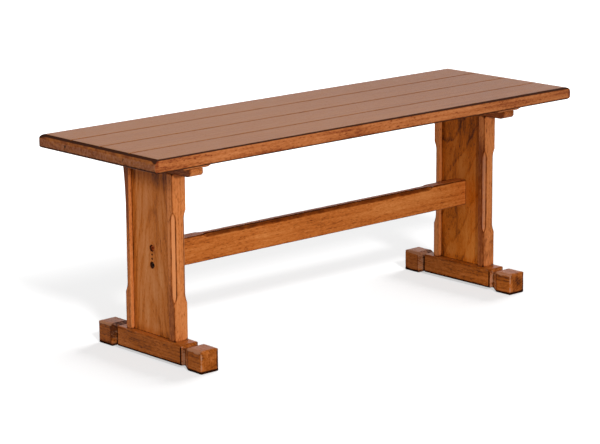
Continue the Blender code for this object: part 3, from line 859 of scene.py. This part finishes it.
def joint_corners(edge, inward, slack, bottom, top):
    """Corners of a jointed edge, upwards: its tongue or groove, and half of the V joint above."""
    middle = (bottom + top) / 2
    half = TONGUE_THICKNESS / 2 + slack
    deep = edge + TONGUE_LENGTH
    corners = [Corner(edge, bottom, 0.5, 0.0, JOINT_BOTTOM_ARRIS, JOINT_STEPS)]
    for y, z in ((edge, -half), (deep, -half), (deep, half), (edge, half)):
        corners.append(Corner(y, middle + z, steps=0))
    corners.append(Corner(edge, top - JOINT_CHAMFER, 0.8, 0.0, JOINT_SIDE_ARRIS, JOINT_STEPS))
    corners.append(Corner(edge + inward * JOINT_CHAMFER, top, 0.3, 0.0, JOINT_TOP_ARRIS, JOINT_STEPS))
    return corners


def stain_edge(piece, toward, edge):
    """Gives the seat's front or back edge its own, more figured stain."""
    mesh = piece.data
    mesh.materials.append(WOODS["seat_edge"])
    for face in mesh.polygons:
        if face.normal.y * toward > EDGE_FACING and abs(face.center.y - edge) < EDGE_ROUND:
            face.material_index = len(mesh.materials) - 1


def make_board(number):
    node = f"seat_board_{number}"
    low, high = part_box(node)
    first, last = number == 1, number == BOARD_COUNT
    front = low.y
    back = high.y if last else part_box(f"seat_board_{number + 1}")[0].y - FIT_GAP
    bottom, top = low.z, high.z
    end = high.x
    fronts = joint_corners(front, 1, FIT_GAP, bottom, top)
    backs = joint_corners(back, -1, 0, bottom, top)
    if first:
        fronts = [
            Corner(front, bottom, 0.4, 0.0, EDGE_BOTTOM_ROUND, ROUND_STEPS, 1.0),
            Corner(front, top, FRONT_LINE, 0.0, EDGE_ROUND, ROUND_STEPS, 0.0),
        ]
    if last:
        backs = [
            Corner(back, bottom, 1.0, 0.0, EDGE_BOTTOM_ROUND, ROUND_STEPS, 0.4),
            Corner(back, top, 0.0, 0.0, EDGE_ROUND, ROUND_STEPS, 0.9),
        ]
    section = ring_points(fronts[:1] + backs + fronts[:0:-1])
    seat_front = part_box("seat_board_1")[0].y
    seat_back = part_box(f"seat_board_{BOARD_COUNT}")[1].y

    reaches = eased_marks(END_ROUND_WIDTH, ROUND_STEPS)
    reaches += eased_marks(END_BOTTOM_ROUND, BOTTOM_STEPS) + eased_marks(SEAT_CORNER, CORNER_STEPS)
    near_end = [end - reach for reach in reaches]
    stations = merged(steps_between(0, end - END_ROUND_WIDTH, BOARD_SPACING) + near_end)
    sections = []
    for s in mirrored(stations):
        distance = end - abs(s)
        full_drop = END_ROUND_DROP if s < 0 else RIGHT_ROUND_DROP
        full_rise = END_BOTTOM_ROUND if s < 0 else RIGHT_BOTTOM_ROUND
        drop = rounded_inset(distance, END_ROUND_WIDTH, full_drop)
        rise = rounded_inset(distance, full_rise, full_rise)
        side = rounded_inset(distance, SEAT_CORNER, SEAT_CORNER)
        # The dark line along the front arris is thicker towards the right end.
        thick = min(1, max(0, (s - THICK_LINE_FROM) / THICK_LINE_SPAN))
        points = []
        for y, z, glaze, wear in section:
            if drop > MERGE and z > top - drop:
                z = top - drop
                from_corner = min(y - seat_front, seat_back - y)
                corner = fading(from_corner, *SEAT_CORNER_FADE)
                glaze = END_BAND * fading(drop / full_drop, 0.24 + 0.3 * corner, 0.42 + 0.35 * corner)
                wear = 0.0
            elif first and y < front + EDGE_ROUND - MERGE and z > top - EDGE_ROUND:
                line = fading((top - z) / EDGE_ROUND, 0.25 + 0.28 * thick, 0.6 + 0.36 * thick)
                glaze = max(glaze, FRONT_LINE * line)
            z = max(z, bottom + rise)
            if first:
                y = max(y, front + side)
                if s > 0 and side > MERGE and y < front + side + MERGE:
                    glaze = max(glaze, 0.7 * side / SEAT_CORNER)
            if last:
                y = min(y, back - side)
                if side > MERGE and y > back - side - MERGE:
                    glaze = max(glaze, 0.8 * side / SEAT_CORNER)
            if distance < 0.4 * full_rise and z < bottom + full_rise:
                glaze = max(glaze, 0.7 * fading(z - bottom - rise, *LOWER_LINE_FADE))
            if distance < SKIN:
                wear = END_WEAR
            points.append((y, z, glaze, wear))
        sections.append((s, points))
    depth = -0.045 - 0.011 * number
    pith = (2.3 * number, 0.02 * number - (front + back) / 2, depth - top)
    wood = Wood(node, "seat_wood", 0, pith)
    wood.sweep(sections)

    def tone_by_place(place):
        at_end = fading(end - abs(place.x), *SEAT_END_FADE)
        patchy = cloud(place.x * 2, place.y * 85, place.z * 140)
        at_edge = 0.0
        if first:
            at_edge = fading(place.y - low.y, *SEAT_EDGE_FADE)
        if last:
            at_edge = fading(high.y - place.y, *SEAT_EDGE_FADE)
        run = cloud(place.x * 8, 7.0, place.z * 150)
        # The top is darker towards the right end.
        right_top_darkening = 0.16 * fading(end - place.x, *SEAT_RIGHT_TOP_FADE) if place.z > top - SKIN else 0.0
        return at_end * (0.45 * patchy - 0.36) + at_edge * (1 - at_end) * (0.5 * run + 0.03) - right_top_darkening

    wood.paint(tone_by_place)
    wood.roughen(PLANED, WORN)
    for leg in SIDES:
        screw_hole(wood, f"cleat_screw_{leg}_{number}")
    piece = wood.finish()
    if first:
        stain_edge(piece, -1, front)
    if last:
        stain_edge(piece, 1, back)


# Legs


def rectangle(low, high, glaze, wear):
    """Corners of a plain section, from (across, up) of its lowest and highest corner."""
    places = (low, (high[0], low[1]), high, (low[0], high[1]))
    return [Corner(*place, glaze, wear) for place in places]


def bar_sections(corners, low, high, reaches, rise_at):
    """Sections of a cleat or bolster, with eased ends whose underside rises towards the end."""
    section = ring_points(corners)
    ends = [high.y - reach for reach in reaches] + [low.y + reach for reach in reaches]
    inner = steps_between(low.y + max(reaches), high.y - max(reaches), BAR_SPACING)
    sections = []
    for s in merged(ends + inner):
        distance = min(s - low.y, high.y - s)
        rise = rise_at(distance)
        trim = rounded_inset(distance, ARRIS, ARRIS)
        points = []
        for x, z, glaze, wear in section:
            z = min(max(z, low.z + rise), high.z - trim)
            x = min(max(x, low.x + trim), high.x - trim)
            points.append((x, z, glaze, wear))
        sections.append((s, points))
    return sections


def make_cleat(side):
    node = f"cleat_{side}"
    low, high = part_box(node)
    bevel = CLEAT_BEVEL
    corners = [
        Corner(low.x + bevel, low.z, 0.4, 0.5),
        Corner(high.x - bevel, low.z, 0.4, 0.5),
        Corner(high.x, low.z + bevel, 0.4, 0.5),
        Corner(high.x, high.z, 0.6, 0.5),
        Corner(low.x, high.z, 0.6, 0.5),
        Corner(low.x, low.z + bevel, 0.4, 0.5),
    ]
    reaches = [0.0, ARRIS / 3, ARRIS, bevel * 0.6, bevel, bevel + ARRIS]
    along, across, up = CLEAT_PITHS[side]
    wood = Wood(node, "leg_wood", 1, (along, across - (low.x + high.x) / 2, up - high.z))
    sections = bar_sections(corners, low, high, reaches, lambda distance: max(0, bevel - distance))
    wood.sweep(sections, CAP_SHARES)
    # Painted shade: the cleat is darkened all over, as it lies under the seat, all but its front end.
    wood.paint(lambda place: 0.55 * fading(place.y - low.y, *CLEAT_SHADE_FADE) - 0.55)
    wood.roughen(PLANED, WORN_BAR)
    for number in range(1, BOARD_COUNT + 1):
        screw_hole(wood, f"cleat_screw_{side}_{number}")
    for face in FACES:
        screw_hole(wood, f"bolster_screw_{side}_{face}")
    wood.finish()


def make_bolster(side):
    node = f"bolster_{side}"
    low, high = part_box(node)
    nose = BOLSTER_NOSE
    corners = rectangle((low.x, low.z), (high.x, high.z), 0.6, 0.5)
    reaches = eased_marks(nose, ROUND_STEPS) + [ARRIS / 3, ARRIS]
    nose_tone = 0.0 if side == "left" else -0.26
    along, across, up = BOLSTER_PITHS[side]
    wood = Wood(node, "leg_wood", 1, (along, across - (low.x + high.x) / 2, up - low.z))

    def rise_at(distance):
        return rounded_inset(distance, nose, nose)

    wood.sweep(bar_sections(corners, low, high, reaches, rise_at), CAP_SHARES)

    # Painted shade on the -X side, which lies under the seat; the right bolster's front end is darker as
    # well.
    def tone_by_place(place):
        flank = -0.5 * fading(place.x - low.x, *BOLSTER_SHADE_FADE)
        return flank + nose_tone * fading(place.y - low.y, *BOLSTER_NOSE_FADE)

    wood.paint(tone_by_place)
    wood.roughen(PLANED, WORN_BAR)
    for face in FACES:
        screw_hole(wood, f"bolster_screw_{side}_{face}")
        tenon_hole(wood, f"leg_stile_{side}_{face}", low.z - OVERCUT, low.z + BOLSTER_TENON_LENGTH)
    wood.finish()


def make_stile(side, face):
    node = f"leg_stile_{side}_{face}"
    low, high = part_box(node)
    bottom, top = low.z + FOOT_TENON_LENGTH - FIT_GAP, high.z - BOLSTER_TENON_LENGTH + FIT_GAP
    middle = (bottom + top) / 2
    toward = FACES[face]
    outer = low.y if face == "front" else high.y
    inner = outer - toward * STILE_THICKNESS
    groove = PANEL_THICKNESS / 2 + FIT_GAP
    floor = inner + toward * PANEL_TONGUE
    x = (low.x + high.x) / 2
    half = (high.x - low.x) / 2
    seed = Vector((x * 10, outer * 30, 3.0))
    flat_depth = STILE_CHAMFER / math.sqrt(2)

    def corners_at(z):
        along = STILE_CHAMFER_LENGTH / 2 - abs(z - middle)
        runout = STILE_CHAMFER_RUNOUT
        if z > middle and node == LONG_RUNOUT_NODE:
            along += LONG_RUNOUT - runout
            runout = LONG_RUNOUT
        cut = scoop(along, flat_depth, runout) * math.sqrt(2)
        inside = min(1, cut / STILE_CHAMFER)
        corners = []
        for way in (-1, 1):
            uneven = 0.25 * noise.noise(Vector((way * 5, z * 55, 0)) + seed)
            leg = max(ARRIS * (1 + uneven), cut * (1 + 0.12 * uneven))
            reach = min(CHAMFER_EASE_SHARE * leg * math.sqrt(2), STILE_CHAMFER_ARRIS)
            flank = Corner(way * half, outer - toward * leg, 0.5, 0.0, reach, CHAMFER_STEPS)
            nose = Corner(way * (half - leg), outer, 0.35 + 0.25 * inside, 0.0, reach, CHAMFER_STEPS)
            pair = [flank, nose] if way < 0 else [nose, flank]
            bare = STILE_BARE[side] * inside
            corners += [pair[0]._replace(side_wear=bare, divisions=CHAMFER_DIVISIONS), pair[1]]
        corners.append(Corner(half, inner, 0.25, 0.1))
        for across, up, glaze in (
            (groove, inner, 0.7),
            (groove, floor, 0.9),
            (-groove, floor, 0.9),
            (-groove, inner, 0.7),
        ):
            corners.append(Corner(across, up, glaze, steps=0))
        corners.append(Corner(-half, inner, 0.25, 0.1))
        return [corner._replace(across=corner.across + x) for corner in corners]

    shares = side_shares(corners_at(bottom))
    runs = []
    for sign in (-1, 1):
        stop = middle + sign * STILE_CHAMFER_LENGTH / 2
        runs += steps_between(stop, stop - sign * STILE_CHAMFER_RUNOUT, RUNOUT_SPACING)
    centre_x, centre_y = tenon_middle(node)

    def tenon_points(points):
        """The same ring drawn in to the outline of the tenon."""
        drawn = []
        for a, b, glaze, wear in points:
            offset = Vector((a - centre_x, b - centre_y))
            reach_x = TENON_WIDTH / 2 / max(abs(offset.x), TINY)
            reach_y = TENON_THICKNESS / 2 / max(abs(offset.y), TINY)
            share = min(reach_x, reach_y)
            drawn.append((centre_x + offset.x * share, centre_y + offset.y * share, TENON_GLAZE, 0))
        return drawn

    sections = []
    for z in merged(runs + steps_between(bottom, top, STILE_SPACING)):
        near_end = max(0, 1 - min(z - bottom, top - z) / STILE_END_FADE)
        points = ring_points(corners_at(z), shares)
        points = [(a, b, glaze + 0.5 * near_end, wear) for a, b, glaze, wear in points]
        sections.append((z, points))
    tenon = tenon_points(sections[0][1])
    sections = [(low.z, tenon), (bottom, tenon)] + sections + [(top, tenon), (high.z, tenon)]
    pith = (0.9 * (2 + toward) + 0.37 * x, 0.035 - outer, -0.06 * SIDES[side] - x)
    wood = Wood(node, "leg_wood", 2, pith, "leg_wood" if side == "left" else "right_stile")
    wood.sweep(sections)

    def tone_by_place(place):
        # Painted shade: the left back stile's -X side is darker, more so towards the top, under the
        # seat.
        if face == "back":
            flank = fading(place.x - low.x, *STILE_FLANK_SHADE_FADE) if side == "left" else 0.0
            flank *= 1 - fading(place.y - inner, *STILE_INNER_FADE)
            return -flank * (0.18 + 0.38 * fading(top - place.z, *STILE_TOP_SHADE_FADE))
        if place.x > low.x + STILE_FLANK:
            swirl = cloud(place.x * 70, place.y * 40, place.z * 45)
            low_share = fading(place.z, *STILE_SWIRL_FADE)
            return (0.35 * swirl - 0.14) * low_share if side == "right" else 0.0
        # Painted shade: a front stile's -X side, in the recess beside the panel, is darker below a
        # height set for each leg.
        return -0.40 * fading(place.z, *STILE_SHADE_FADES[side])

    wood.paint(tone_by_place)
    wood.roughen(PLANED, WORN)
    wood.finish()


def make_panel(side):
    node = f"leg_panel_{side}"
    low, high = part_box(node)
    outward = SIDES[side]
    section = ring_points(rectangle((low.x, low.y), (high.x, high.y), 0.5, 0))
    ends = [low.z + reach for reach in EDGE_MARKS] + [high.z - reach for reach in EDGE_MARKS]
    half_shown = (high.y - low.y) / 2 - PANEL_TONGUE
    sections = []
    for s in merged(ends + steps_between(low.z, high.z, BAR_SPACING)):
        at_end = math.exp(-min(s - low.z, high.z - s) / EDGE_FADE)
        points = []
        for x, y, glaze, wear in section:
            at_stile = math.exp(-max(0, half_shown - abs(y)) / EDGE_FADE)
            points.append((x, y, max(glaze, 0.65 * at_stile, 0.7 * at_end), 0))
        sections.append((s, points))
    along, across, outside = PANEL_PITHS[side]
    finish = "panel_wood" if side == "left" else "right_panel"
    wood = Wood(node, "panel_wood", 2, (along, across, outside - (low.x + high.x) / 2), finish)
    wood.sweep(sections)

    def tone_by_place(place):
        # Dark joints with painted shade: the panel is darker along its bottom and beside the stiles.
        low_band = fading(place.z - low.z, *PANEL_JOINT_SHADE_FADE)
        by_stile = fading(half_shown - place.y, *PANEL_JOINT_SHADE_FADE)
        tone = -0.20 * max(low_band, by_stile)
        if side == "left":
            clouds = 0.0
            for strength, y, z, wide, tall in LEFT_PANEL_CLOUDS:
                away = Vector((0, (place.y - y) / wide, (place.z - z) / tall)).length
                clouds += strength * fading(away, *PANEL_CLOUD_FADE)
            tone -= clouds
            # Painted shade at the top, under the seat, and beside the front stile.
            tone -= 0.24 * fading(high.z - place.z, *LEFT_PANEL_TOP_SHADE_FADE)
            return tone + 0.11 - 0.28 * fading(place.y + half_shown, *LEFT_PANEL_FRONT_SHADE_FADE)
        # The right panel is darker at the top: painted shade under the seat, with dark flames of figure
        # in it.
        flame = cloud(place.y * 75, place.z * 9, 4.0)
        at_top = fading(high.z - place.z, *RIGHT_PANEL_SHADE_FLAME_FADE)
        return tone - 0.04 - at_top * (0.20 + 0.5 * max(0, flame))

    wood.paint(tone_by_place)
    wood.roughen(PLANED_PANEL, 0)
    face_x = low.x if outward < 0 else high.x
    through = PANEL_THICKNESS + OVERCUT
    shank = BOLT_DIAMETER / 2 + FIT_GAP
    bore = COUNTERBORE_DIAMETER / 2
    mouth = bore + COUNTERBORE_EASE
    counterbore = [(-OVERCUT, mouth), (0, mouth), (COUNTERBORE_EASE, bore), (COUNTERBORE_DEPTH, bore)]
    bolt_hole = counterbore + [(COUNTERBORE_DEPTH, shank), (through, shank)]
    for level in LEVELS:
        bolt = middle_of(f"stretcher_bolt_{side}_{level}")
        wood.drill((face_x, 0, bolt.z), (-outward, 0, 0), bolt_hole)
        pin = middle_of(f"stretcher_pin_{side}_{level}")
        wood.drill((face_x, 0, pin.z), (-outward, 0, 0), plain_hole(PIN_DIAMETER, through))
    wood.finish()


def make_foot(side):
    node = f"foot_{side}"
    low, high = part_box(node)
    half = high.y
    x = (low.x + high.x) / 2
    half_width = (high.x - low.x) / 2
    height = high.z
    block = half - FOOT_BLOCK
    neck_out = block - COLLAR_SLOPE
    neck_in = neck_out - COLLAR_NECK
    middle = neck_in - COLLAR_STEP
    seed = Vector((x * 20, 1.0, 7.0))

    def inset_at(s):
        """How far the collar is cut in, and how high the underside is, at s along the foot."""
        slope = min(1, max(0, (block - abs(s)) / COLLAR_SLOPE))
        step = min(1, max(0, (abs(s) - middle) / COLLAR_STEP))
        return COLLAR_DEPTH * min(slope, step), FOOT_RELIEF * slope

    def corners_at(s):
        inset, bottom = inset_at(s)
        wide, top = half_width - inset, height - inset
        on_block = abs(s) > block - STEP_MARK
        in_neck = middle + 0.3 * COLLAR_STEP < abs(s) < block - 0.6 * COLLAR_SLOPE
        corners = []
        for i, (a, b) in enumerate(((-wide, bottom), (wide, bottom), (wide, top), (-wide, top))):
            uneven = noise.noise(Vector((i * 3.7, s * 60, 0)) + seed)
            reach = FOOT_ROUND * (0.9 if on_block else 0.5) * (1 + 0.25 * uneven)
            # The bottom arrises: dark glaze with painted contact shade.
            if b == bottom:
                glaze, wear, fade = 1.0, 0.0, FOOT_BOTTOM_GLAZE_SHADE_FADE
            elif in_neck:
                glaze, wear, fade = 0.5, 0.5, EDGE_FADE
            else:
                glaze, wear, fade = 0.35, 0.8 if on_block else 0.25, FOOT_TOP_FADE
            corners.append(Corner(x + a, b, glaze, wear, reach, fade=fade))
        return corners

    shares = side_shares(corners_at(0))
    marks = [middle - STEP_MARK, middle + STEP_MARK, neck_in + STEP_MARK, neck_out - ROOT_MARK]
    for mark in (block, neck_out, neck_in, middle):
        marks += [mark - FOOT_MARK, mark, mark + FOOT_MARK]
    marks += [half - reach for reach in eased_marks(FOOT_ROUND, FOOT_STEPS)]
    marks += steps_between(block, half - FOOT_ROUND, FOOT_BLOCK_SPACING)
    marks += steps_between(neck_out, block, FOOT_SLOPE_SPACING)
    marks += steps_between(0, middle, FOOT_SPACING)
    sections = []
    for s in mirrored(marks):
        distance = half - abs(s)
        trim = rounded_inset(distance, FOOT_ROUND, FOOT_ROUND)
        inset, bottom = inset_at(s)
        points = []
        for a, b, glaze, wear in ring_points(corners_at(s), shares):
            offset = min(max(a - x, trim - half_width), half_width - trim)
            b = min(max(b, bottom + trim), height - inset - trim)
            if distance < FOOT_ROUND:
                share = 1 - distance / FOOT_ROUND
                upright = fading(half_width - abs(offset), FOOT_ROUND, 1.6 * FOOT_ROUND)
                ridge = fading(abs(share - 0.62), *FOOT_RIDGE_FADE)
                rubbed = 0.8 + 0.35 * cloud(b * 70, x, s * 9)
                wear = max(wear * (1 - share), (0.35 + 0.5 * upright) * ridge * rubbed)
                # Dark glaze with painted contact shade along the bottom of the ends.
                base = fading(b - bottom, FOOT_ROUND, 1.7 * FOOT_ROUND)
                wear *= 1 - base
                inner_edge = fading(half_width - offset, FOOT_ROUND, 1.5 * FOOT_ROUND)
                glaze = max(glaze, 0.85 * base * share, 0.65 * inner_edge * share)
            crease = 0.5 * fading(abs(abs(s) - block), *FOOT_CREASE_FADE)
            below_top = 1 - 0.5 * fading(height - inset - b, *FOOT_CROWN_FADE)
            shoulder = (0.85 if s < 0 else 0.6) * fading(abs(abs(s) - middle), *FOOT_SHOULDER_FADE)
            root = 0.75 * fading(abs(abs(s) - neck_out), *FOOT_ROOT_FADE)
            glaze = max(glaze, crease, shoulder * below_top, root * below_top)
            # Bared wood with a painted grey sheen, in the collars' necks and on their slopes.
            if middle + NECK_BARE_SHEEN_FROM < abs(s) < neck_out - NECK_BARE_SHEEN_TO:
                wear = max(wear, 0.68 * below_top if s < 0 else 0.3)
            elif neck_out < abs(s) < block:
                wear = max(wear, 0.6 if s > 0 and side == "right" else 0.4)
            points.append((x + offset, b, glaze, wear))
        sections.append((s, points))
    along, across, up = FOOT_PITHS[side]
    wood = Wood(node, "foot_wood", 1, (along, across - x, up))
    wood.sweep(sections, FOOT_CAP_SHARES)
    far_tone, far_slope_shade = (-0.26, 0.44) if side == "left" else (0.10, 0.26)

    def tone_by_place(place):
        tone = far_tone * fading(half - place.y, FOOT_BLOCK, FOOT_BLOCK + COLLAR_SLOPE)
        # Painted shade on the collar slopes, more at the far end, which faces away from the light, and
        # lifted near the floor.
        slope = fading(abs(abs(place.y) - (neck_in + block) / 2), COLLAR_SLOPE / 2, COLLAR_SLOPE)
        deep = 0.1
        if place.y > 0:
            deep = far_slope_shade - 0.6 * fading(place.z, *FOOT_SHADE_FADE)
        tone -= slope * deep
        patchy = cloud(place.x * 110, 3.0, place.z * 110)
        tone += 0.42 * patchy * fading(half + place.y, *FOOT_FRONT_FADE)
        if side == "right" and place.y < -block and place.x < low.x + FOOT_FLANK:
            tone -= 0.12
        # Painted light: the top faces are made lighter, as where light falls on them.
        return tone + (0.18 if place.z > height - SKIN else 0.0)

    wood.paint(tone_by_place)
    wood.roughen(PLANED_FOOT, WORN_FOOT)
    for face in FACES:
        tenon_hole(wood, f"leg_stile_{side}_{face}", height - FOOT_TENON_LENGTH, height + OVERCUT)
    wood.finish()


# Stretcher


def make_stretcher():
    node = "stretcher"
    low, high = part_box(node)
    front, back = low.y, high.y
    half = high.x
    slant = math.hypot(STRETCHER_CHAMFER_WIDTH, STRETCHER_CHAMFER_DROP)
    depth = STRETCHER_CHAMFER_WIDTH * STRETCHER_CHAMFER_DROP / slant
    reach = half - STRETCHER_CHAMFER_INSET

    def corners_at(s):
        share = scoop(reach - abs(s), depth, STRETCHER_CHAMFER_RUNOUT) / depth
        corners = [Corner(front, low.z, 0.6, 0.5), Corner(back, low.z, 0.6, 0.5)]
        for way, edge in ((1, back), (-1, front)):
            uneven = cloud(s * 60, way * 4.0, 2.5)
            width = max(ARRIS, STRETCHER_CHAMFER_WIDTH * share) * (1 + 0.10 * uneven)
            drop = max(ARRIS, STRETCHER_CHAMFER_DROP * share) * (1 + 0.14 * uneven)
            ease = min(CHAMFER_EASE_SHARE * math.hypot(width, drop), STRETCHER_CHAMFER_ARRIS)
            flank = Corner(edge, high.z - drop, 0.5, 0.0, ease, CHAMFER_STEPS)
            ridge = Corner(edge - way * width, high.z, 0.9, 0.0, ease, CHAMFER_STEPS)
            pair = [flank, ridge] if way > 0 else [ridge, flank]
            corners.append(pair[0]._replace(side_glaze=0.55 * share, divisions=CHAMFER_DIVISIONS))
            # The side after the back ridge is the top face, which gets painted shade as it lies under
            # the seat.
            corners.append(pair[1]._replace(side_glaze=0.3 if way > 0 else 0.0))
        return corners

    shares = side_shares(corners_at(half))
    runs = []
    for sign in (-1, 1):
        runs += steps_between(sign * reach, sign * (reach - STRETCHER_CHAMFER_RUNOUT), RUNOUT_SPACING)
        runs += [sign * (half - mark) for mark in EDGE_MARKS]
    sections = []
    for s in merged(runs + steps_between(-half, half, STRETCHER_SPACING)):
        end_glaze = 0.8 * math.exp(-(half - abs(s)) / EDGE_FADE)
        ring = ring_points(corners_at(s), shares)
        sections.append((s, [(a, b, max(glaze, end_glaze), wear) for a, b, glaze, wear in ring]))
    along, across, up = STRETCHER_PITH
    wood = Wood(node, "leg_wood", 0, (along, across, up - (low.z + high.z) / 2), "stretcher")
    wood.sweep(sections, CAP_SHARES)
    wood.roughen(PLANED_PANEL, WORN_STRETCHER)
    for side, outward in SIDES.items():
        for level in LEVELS:
            for kind, diameter in (("bolt", BOLT_DIAMETER), ("pin", PIN_DIAMETER)):
                part_low, part_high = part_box(f"stretcher_{kind}_{side}_{level}")
                tip = part_high.x if outward < 0 else part_low.x
                start = (outward * half, 0, (part_low.z + part_high.z) / 2)
                wood.drill(start, (-outward, 0, 0), plain_hole(diameter, half - abs(tip) + FIT_GAP))
            nut = f"stretcher_nut_{side}_{level}"
            nut_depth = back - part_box(nut)[0].y + FIT_GAP
            start = (middle_of(nut).x, back, middle_of(nut).z)
            wood.drill(start, (0, -1, 0), plain_hole(NUT_DIAMETER, nut_depth))
    wood.finish()


for board_number in range(1, BOARD_COUNT + 1):
    make_board(board_number)
for leg_side in SIDES:
    make_cleat(leg_side)
    make_bolster(leg_side)
    make_panel(leg_side)
    make_foot(leg_side)
    for leg_face in FACES:
        make_stile(leg_side, leg_face)
make_stretcher()

for part in frame["record"]["subparts"]:
    if part["material_slot"] in STEELS:
        node_object = frame["nodes"][part["node"]]
        node_object.data.materials.clear()
        steel = part["material_slot"]
        if part["node"] in RUSTY_BOLTS:
            steel = "rusty_steel"
        elif part["node"].startswith("stretcher_pin"):
            steel = "pin_steel"
        node_object.data.materials.append(STEELS[steel])

# Floor, light and camera

FLOOR_REACH = 30.0
FLOOR_COLOUR = grey(0.4)
FLOOR_BOUNCE = grey(0.25)
FLOOR_GLOW = 0.535
GLOW_AROUND = (0.9, 3.5)
GLOW_BEHIND = (0.55, 1.1)
SKY_LIGHT = 0.26
KEY_TARGET = (-0.45, 0.0, 0.25)
KEY_TOWARDS = (0.4, 3.2, -0.85)
KEY_DISTANCE = 2.5
KEY_POWER = 33.0
KEY_SIZE = 0.30
# Each sun's direction, strength and width in degrees
SUNS = {
    "side": ((2.0, 0.5, -1.0), 0.95, 12),
    "spot": ((0.64, 1.45, -1.0), 0.3, 6),
    "fill": ((-0.75, -0.5, -0.25), 0.5, 60),
    "cast": ((0.64, 1.45, -1.0), 2.85, 6),
    "low": ((-1.0, -0.15, -0.32), 6.2, 36),
}
FLOOR_SUNS = ("cast", "low")
PHOTO_WIDTH = 600
FOCAL_PIXELS = 2371.1
SENSOR_WIDTH = 36.0
CAMERA_PLACE = (-3.37513, -3.66382, 1.35812)
CAMERA_AZIMUTH = math.radians(42.19)
CAMERA_ELEVATION = math.radians(12.97)
CAMERA_ROLL = math.radians(-0.41)


def make_floor():
    shape = bmesh.new()
    bmesh.ops.create_grid(shape, x_segments=4, y_segments=4, size=FLOOR_REACH)
    floor = put("floor", mesh_of(shape, "floor"))
    material = bpy.data.materials.new("floor")
    graph = Graph(material)
    seen = graph.backdrop_rays()
    matt = graph.add("BsdfDiffuse", {"Color": graph.mix(seen, FLOOR_BOUNCE, FLOOR_COLOUR)})
    place = graph.place()
    behind = graph.add("SeparateXYZ", {0: place}).outputs[1]
    around_glow = graph.spread(graph.length(place), *GLOW_AROUND, FLOOR_GLOW, 1.0)
    behind_glow = graph.spread(behind, *GLOW_BEHIND, FLOOR_GLOW, 1.0)
    strength = graph.calc("MULTIPLY", seen, graph.calc("MAXIMUM", around_glow, behind_glow))
    white = graph.add("Emission", {"Color": WHITE, "Strength": strength})
    graph.show(graph.add("AddShader", {0: matt.outputs[0], 1: white.outputs[0]}))
    floor.data.materials.append(material)
    return floor


def make_lamp(name, kind, towards, energy):
    lamp = put(name, bpy.data.lights.new(name, kind))
    lamp.data.energy = energy
    lamp.rotation_euler = Vector(towards).to_track_quat("-Z", "Y").to_euler()
    return lamp


def make_key():
    towards = Vector(KEY_TOWARDS).normalized()
    key = make_lamp("key", "AREA", towards, KEY_POWER)
    key.data.shape = "DISK"
    key.data.size = KEY_SIZE
    key.location = Vector(KEY_TARGET) - towards * KEY_DISTANCE
    return key


def keep_floor(lamp, floor, state):
    """Lets a lamp light the floor only, with INCLUDE, or all but the floor, with EXCLUDE."""
    group = bpy.data.collections.new(f"{lamp.name}_floor")
    group.objects.link(floor)
    group.collection_objects[0].light_linking.link_state = state
    lamp.light_linking.receiver_collection = group


def make_world():
    world = bpy.data.worlds.new("studio")
    graph = Graph(world)
    strength = graph.summed(SKY_LIGHT, (graph.backdrop_rays(), 0.0, 1 - SKY_LIGHT))
    graph.show(graph.add("Background", {"Color": WHITE, "Strength": strength}), "OutputWorld")
    bpy.context.scene.world = world


def make_camera():
    lens = bpy.data.cameras.new("camera")
    lens.sensor_fit = "HORIZONTAL"
    lens.sensor_width = SENSOR_WIDTH
    lens.lens = FOCAL_PIXELS / PHOTO_WIDTH * SENSOR_WIDTH
    camera = put("camera", lens)
    turn = Matrix.Rotation(-CAMERA_AZIMUTH, 4, "Z")
    tilt = Matrix.Rotation(math.pi / 2 - CAMERA_ELEVATION, 4, "X")
    roll = Matrix.Rotation(CAMERA_ROLL, 4, "Z")
    camera.matrix_world = Matrix.Translation(CAMERA_PLACE) @ turn @ tilt @ roll
    bpy.context.scene.camera = camera


FLOOR = make_floor()
# The lamps on the bench would throw long shadows, so the floor has two suns of its own.
lamps = {"key": make_key()}
for sun_name, (sun_towards, sun_strength, sun_width) in SUNS.items():
    lamps[sun_name] = make_lamp(sun_name, "SUN", sun_towards, sun_strength)
    lamps[sun_name].data.angle = math.radians(sun_width)
for lamp_name, made_lamp in lamps.items():
    keep_floor(made_lamp, FLOOR, "INCLUDE" if lamp_name in FLOOR_SUNS else "EXCLUDE")
# Only the feet block the low sun, which leaves a soft patch beside each of them.
feet = bpy.data.collections.new("feet")
for leg_side in SIDES:
    feet.objects.link(bpy.data.objects[f"foot_{leg_side}_wood"])
lamps["low"].light_linking.blocker_collection = feet
make_world()
make_camera()
bpy.context.scene.view_settings.view_transform = "Standard"
